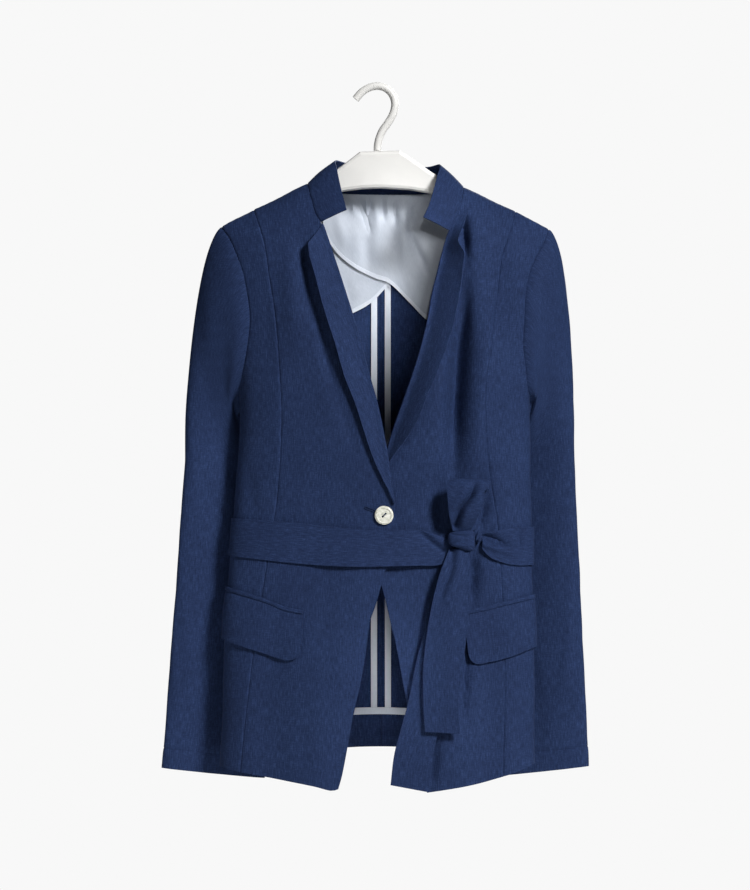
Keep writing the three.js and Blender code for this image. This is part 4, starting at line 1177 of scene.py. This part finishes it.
# Bow: one loop and two tails, free of the coat, with valleys given as height and x
bowSizes = {"wall": 1.6, "step": 2.2}
loopSizes = {
    "turnOver": (0.42, 0.5),  # share of its length
    "valley": 9, "valleyWide": 3.8, "ridge": (7, 4), "ridgeLeft": 1.6, "ridgeRight": 1,
    "bulge": 2.2, "backBulge": 2, "narrow": (-465, 6), "narrowFront": 4.6, "narrowBack": 1.6,
    "slit": 5, "slitAcross": 0.92, "slitWide": 1.7, "slitAt": (-464.5, 4.5), "topRound": 2.2,
}
tailSizes = {
    "roll": 1.2, "valleyWide": 3.6, "ridge": (8, 5), "uneven": 0.35, "fold": 0.8, "foldWide": 6,
    "slantOver": 70,
}
bowValleys = {
    "Loop": [(-511, 84.5), (-503, 86), (-484, 91.5), (-470, 103), (-458, 107.5), (-450, 108.5)],
    "TailFront": [(-585, 70), (-570, 75), (-554, 82.5), (-531, 84.5), (-520, 86)],
    "TailBehind": [(-640, 60), (-600, 74), (-560, 86), (-529, 92)],
}


# Distance to the left of a line given as height and x, with how far its height range is covered
def besideLine(rows, x, z, fade=6):
    heights = [row[0] for row in rows]
    low, high = min(heights), max(heights)
    cover = soft(z, low - fade, low + fade) * (1 - soft(z, high - fade, high + fade))
    return x - np.interp(z, heights, [row[1] for row in rows]), cover


def bowCloth(word, width, length, look, shape):
    step = bowSizes["step"]
    s, t = shares(width, step, (0.5, 1.2))[None, :], shares(length, step, (0.5, 1.2))[:, None]
    cloth("belt" + word, shape(*np.broadcast_arrays(s, t)), look, thick=bowSizes["wall"])


def loopShape(s, t):
    g = loopSizes
    z, left, right, y = (read(loopRows, t, k) for k in (1, 2, 3, 4))
    onFront = 1 - soft(t, *g["turnOver"])
    narrowAt, narrowHigh = g["narrow"]
    narrow = (g["narrowFront"] * onFront - g["narrowBack"]) * gauss(z - narrowAt, narrowHigh)
    x = mix(left, right - narrow, s)
    beside, cover = besideLine(bowValleys["Loop"], x, z)
    beside = beside * 0.8
    away, wide = g["ridge"]
    dent = g["valley"] * gauss(beside, g["valleyWide"]) - g["ridgeLeft"] * gauss(beside - away, wide)
    dent = dent - g["ridgeRight"] * gauss(beside + away, wide)
    y = y + onFront * soft(t, 0, 0.1) * cover * dent * (1 - 0.5 * soft(z, -475, -452))
    y = y - g["bulge"] * onFront * np.sin(np.pi * s) * soft(t, 0.02, 0.3)
    y = y + g["backBulge"] * (1 - onFront) * np.sin(np.pi * s) * soft(1 - t, 0.02, 0.3)
    slitAt, slitHigh = g["slitAt"]
    slit = gauss(x - mix(left, right, g["slitAcross"]), g["slitWide"]) * gauss(z - slitAt, slitHigh)
    y = y + g["slit"] * onFront * slit
    z = z - g["topRound"] * np.abs(2 * s - 1) ** 4 * soft(z, -472, -450)
    return np.stack([x, y, z], axis=-1)


def tailShape(rows, word, deep, slant, seed):
    g, low, high = tailSizes, rows[0][0], rows[-1][0]
    away, wide = g["ridge"]

    def shape(s, t):
        z = mix(low, high, t)
        x = mix(read(rows, z, 1), read(rows, z, 2), s)
        y = read(rows, z, 3) + g["roll"] * np.cos(s * 2 * math.pi) * soft(z, low, high)
        beside, cover = besideLine(bowValleys[word], x, z, 8)
        y = y + cover * deep * (gauss(beside, g["valleyWide"]) - 0.5 * gauss(beside - away, wide))
        y = y - g["uneven"] * unevenness(x, z, seed) * soft(z, low - 20, low + 30)
        fold = gauss(s * 40 - 32 + 8 * t, g["foldWide"]) * soft(t, 0.05, 0.4) * (1 - soft(t, 0.7, 0.95))
        y = y - g["fold"] * fold
        z = z - slant * (s - 0.5) * (1 - soft(z, low, low + g["slantOver"]))
        return np.stack([x, y, z], axis=-1)

    return shape


bowCloth("Loop", 45, 145, linenAcross, loopShape)
bowCloth("TailFront", 45, 215, linen, tailShape(frontTailRows, "TailFront", 2.8, 2, 71))
bowCloth("TailBehind", 43, 275, linen, tailShape(secondTailRows, "TailBehind", 1.4, 8, 72))
print("bow ready")


# Half lining of the back in two pieces, gathered at the neck, with bound lower edges
liningSizes = {
    "onInside": 1.75, "wall": 1, "binding": 4.6, "bindingWall": 1.7, "crease": 1.5,
    "sewn": 0.15, "layer": 1.6, "nextLayer": 2.8, "freeFrom": 50,  # how the layers leave each other
    "underHanger": 8, "underShoulder": 9, "neckFrom": -83.5, "neckTo": 98.5, "neckUp": 1.1,
}
liningCreases = [
    (-34, -119, -28, -144, 2.4, 1.8), (-26, -120, -9, -166, 2.6, -2.6), (-17, -118, -12, -142, 2.4, 2),
    (-10, -121, -13, -150, 2.1, -1.8), (-4, -119, -2, -158, 3, 1.8), (4, -120, 6, -150, 2.4, -1.6),
    (10, -119, 10, -146, 2.2, 1.4), (17, -120, 20, -156, 2.6, -2.2), (28, -118, 29, -204, 7, 2.2),
    (38, -120, 36, -160, 3.2, -1.8), (-15, -146, -14, -214, 8, -2), (34, -158, 59, -210, 3.6, -1.9),
    (47, -163, 69, -222, 6, 1.3), (-50, -138, -40, -182, 6, 1), (60, -198, 62, -246, 5, -1),
    (5, -168, 8, -208, 8, 0.8), (92, -150, 96, -260, 9, 1.1), (124, -175, 122, -280, 8, -1),
]
lowerCreases = [
    (-40, -214, -33, -252, 6, -1), (-55, -190, -58, -262, 7, 0.9), (-86, -180, -92, -270, 8, 1),
    (-118, -190, -124, -280, 7, -1), (10, -170, 0, -230, 7, 0.8), (40, -150, 44, -190, 6, -0.8),
]


# Upper edge of the lining, which gets an angle as each edge does
def liningTop(x, angle=180):
    g = liningSizes
    lowered = g["underShoulder"] + g["underHanger"] * soft(np.abs(x - 7), 95, 125)
    underShoulder = read(shoulder, x) - lowered
    atNeck = read(neckBack, np.clip(x, g["neckFrom"], g["neckTo"])) + g["neckUp"]
    return np.minimum(underShoulder, atNeck)


def backAt(x):
    return lambda z: backAngle(x + 0 * z, z)


# How far inside the back a layer of lining hangs, with its creases
def hang(x, z, layer, creases, seed):
    g = liningSizes
    sewn, free = g["sewn"] + layer * g["layer"], (layer + 1) * g["nextLayer"]
    inside = -g["onInside"] - mix(sewn, free, soft(liningTop(x) - z, 0, g["freeFrom"]))
    return inside - g["crease"] * creaseRise(creases, x, z) - 0.5 * unevenness(x, z, seed)


def lining(word, fromX, toX, rows, layer, creases, seed):
    place = panel(backAt(fromX), backAt(toX), tableEdge(rows), liningTop, 230, 170, 2.6)
    x, z = place["x"], place["z"]
    ripple = 0.35 * np.sin(x * 1.15 + 2 * np.sin(x * 0.17)) * gauss(liningTop(x) - z, 11)
    rise = hang(x, z, layer, creases, seed) - ripple
    cloth("lining" + word, raised(place, rise), satin, thick=liningSizes["wall"])
    low, high = tableEdge(rows, -0.5), tableEdge(rows, liningSizes["binding"])
    band = panel(backAt(fromX), backAt(toX), low, high, 230, 6, 2.2)
    rise = hang(band["x"], np.maximum(band["z"], read(rows, band["x"])), layer, creases, seed)
    wall = liningSizes["bindingWall"]
    cloth("liningBinding" + word, raised(band, rise), tapeLook, thick=wall)


lining("Upper", 150, -66, liningEdgeUpper, 1, liningCreases, 81)
lining("Lower", 74, -138, liningEdgeLower, 0, lowerCreases, 82)

tapeSizes = {
    "width": 7, "left": -5.7, "right": 10.3, "hemRise": 38, "hemWide": 8, "top": -200, "onInside": 1.75,
    "hemIn": 2.2, "wall": 1,
}
hemTop = tapeSizes["hemRise"] + tapeSizes["hemWide"]


def tape(name, place, rise):
    cloth(name, raised(place, rise), tapeLook, thick=tapeSizes["wall"])


for word in ("Left", "Right"):
    x, half = tapeSizes[word.lower()], tapeSizes["width"] / 2
    low, high = tableEdge(hemBack, hemTop + coatSizes["gap"]), slopedEdge(tapeSizes["top"])
    place = panel(backAt(x + half), backAt(x - half), low, high, 7, 470, 1.6)
    rise = -tapeSizes["onInside"] - 0.25 * unevenness(place["x"] * 3, place["z"], 83)
    tape("seamTape" + word, place, rise - 0.3 * np.sin(np.pi * place["s"]))
low, high = tableEdge(hemBack, tapeSizes["hemRise"]), tableEdge(hemBack, hemTop)
place = panel(atAngle(sideSeam + 1), atAngle(359 - sideSeam), low, high, 360, 8, 2.4)
tape("hemTape", place, -tapeSizes["hemIn"] - 0.25 * np.sin(np.pi * place["t"]))
print("lining and tapes ready")


# Button with its thread, and the buttonhole
buttonSizes = {
    "x": 5.75, "z": -490, "radius": 10.1, "edge": 0.6, "thick": 2.6, "hole": 1.65, "apart": 2.4, "turn": 45,
    "out": 0.7, "rimAt": 8.7, "rimWide": 1.1, "rimHigh": 0.75, "rimPoints": 14, "sharp": 40,
}
buttonAngle = angleAt(buttonSizes["x"], buttonSizes["z"])
buttonOut = outwards(buttonAngle, buttonSizes["z"])
buttonLift = lapSizes["lift"] + coatSizes["wall"] / 2 + buttonSizes["out"]
buttonFoot = Vector(coat(buttonAngle, buttonSizes["z"]) + buttonOut * buttonLift)
buttonTurn = Vector(buttonOut).to_track_quat("Z", "Y").to_matrix()
holeTurn = math.radians(buttonSizes["turn"])
holeAside = Vector((math.cos(holeTurn), math.sin(holeTurn), 0)) * buttonSizes["apart"]


def onButton(point):
    return (buttonFoot + buttonTurn @ Vector(point)) * mm


def ringPoints(radius, centre, count):
    turns = [2 * math.pi * k / count for k in range(count)]
    return [(centre[0] + radius * math.cos(a), centre[1] + radius * math.sin(a), 0) for a in turns]


def addLine(curve, line, closed):
    spline = curve.splines.new("POLY")
    spline.points.add(len(line) - 1)
    for spot, at in zip(spline.points, line):
        spot.co = (*at, 1)
    spline.use_cyclic_u = closed


def tube(name, lines, radius, look, closed=False, rounds=4):
    curve = bpy.data.curves.new(name, "CURVE")
    curve.dimensions = "3D"
    curve.bevel_depth = radius * mm
    curve.bevel_resolution = rounds
    curve.use_fill_caps = not closed
    for line in lines:
        addLine(curve, line, closed)
    curve.materials.append(look)
    settle(addObject(name, curve), name)


# The disc with its two holes is filled from outlines
def buttonDisc():
    b = buttonSizes
    outline = bpy.data.curves.new("buttonOutline", "CURVE")
    outline.dimensions = "2D"
    outline.fill_mode = "BOTH"
    outline.extrude = b["thick"] / 2 - b["edge"]
    outline.bevel_depth = b["edge"]
    outline.bevel_resolution = 3
    addLine(outline, ringPoints(b["radius"], (0, 0), 96), True)
    for centre in (holeAside, -holeAside):
        addLine(outline, ringPoints(b["hole"], centre, 24), True)
    holder = addObject("buttonOutline", outline)
    mesh = bpy.data.meshes.new_from_object(holder)
    bpy.data.objects.remove(holder)
    bpy.data.curves.remove(outline)
    mesh.name = "button"
    bm = bmesh.new()
    bm.from_mesh(mesh)
    bmesh.ops.remove_doubles(bm, verts=bm.verts, dist=0.001)
    # A raised rim round a shallow dish
    count = b["rimPoints"]
    section = []
    for a in [2 * math.pi * k / count for k in range(count)]:
        across, up = b["rimWide"] * math.cos(a), b["rimHigh"] * math.sin(a)
        section.append(bm.verts.new((b["rimAt"] + across, 0, b["thick"] / 2 + up)))
    ring = [bm.edges.new((section[k], section[(k + 1) % count])) for k in range(count)]
    bmesh.ops.spin(
        bm, geom=section + ring, cent=(0, 0, 0), axis=(0, 0, 1), angle=2 * math.pi, steps=96, use_merge=True
    )
    bmesh.ops.recalc_face_normals(bm, faces=bm.faces)
    for vert in bm.verts:
        vert.co = onButton(vert.co + Vector((0, 0, b["thick"] / 2)))
    for face in bm.faces:
        face.smooth = True
    bm.to_mesh(mesh)
    bm.free()
    mesh.materials.clear()
    mesh.materials.append(shell)
    piece = addObject("button", mesh)
    sharp = piece.modifiers.new("sharp", "EDGE_SPLIT")
    sharp.split_angle = math.radians(b["sharp"])
    settle(piece, "button")


# Strands through the two holes: share of the way to a hole, height over the button
threadSizes = {"radius": 0.26, "apart": 0.42}
threadArch = [(-1, -0.9), (-0.86, 0.25), (-0.5, 0.55), (0, 0.62), (0.5, 0.55), (0.86, 0.25), (1, -0.9)]


def buttonThread():
    aside = Vector((-holeAside.y, holeAside.x, 0)).normalized() * threadSizes["apart"]
    strands = []
    for k in (-1, 0, 1):
        line = [holeAside * a + aside * k + Vector((0, 0, buttonSizes["thick"] + h)) for a, h in threadArch]
        strands.append([onButton(point) for point in line])
    tube("buttonThread", strands, threadSizes["radius"], threadLook)


buttonholeSizes = {
    "fromX": -16.2, "fromZ": -481, "toX": -1.5, "toZ": -486.4, "half": 1.15, "bead": 0.62, "out": 0.1,
    "points": 44,
}


def buttonhole():
    h = buttonholeSizes
    long = math.hypot(h["toX"] - h["fromX"], h["toZ"] - h["fromZ"])
    way = ((h["toX"] - h["fromX"]) / long, (h["toZ"] - h["fromZ"]) / long)
    line = []
    for k in range(h["points"]):
        turn = 2 * math.pi * k / h["points"]
        share = 0.5 - 0.5 * signed(math.cos(turn), 0.35)
        off = h["half"] * signed(math.sin(turn), 0.6)
        x = h["fromX"] + way[0] * long * share - way[1] * off
        z = h["fromZ"] + way[1] * long * share + way[0] * off
        angle = angleAt(x, z)
        lift = float(lapLift(x, z)) + coatSizes["wall"] / 2 + h["out"]
        line.append(Vector(coat(angle, z) + outwards(angle, z) * lift) * mm)
    tube("buttonhole", [line], h["bead"], threadLook, closed=True)


buttonDisc()
buttonThread()
buttonhole()
print("button ready")


# Hanger: the body keeps its solid, the hook is a fine round bar
hookSizes = {"radius": 4.4, "y": -4.0, "points": 200}
hookRows = np.array(hookLine)
hookArc = arcs(hookRows[None], 1)[0]
hookShares = np.linspace(0, hookArc[-1], hookSizes["points"])
hookX, hookZ = (read(np.column_stack([hookArc, hookRows[:, k]]), hookShares) for k in (0, 1))
hookPath = [Vector((x, hookSizes["y"], z)) * mm for x, z in zip(hookX, hookZ)]
tube("hangerHook", [hookPath], hookSizes["radius"], whitePlastic, rounds=10)
for materialSlot in bpy.data.objects["hanger_body"].material_slots:
    materialSlot.material = whitePlastic
print("hanger ready")
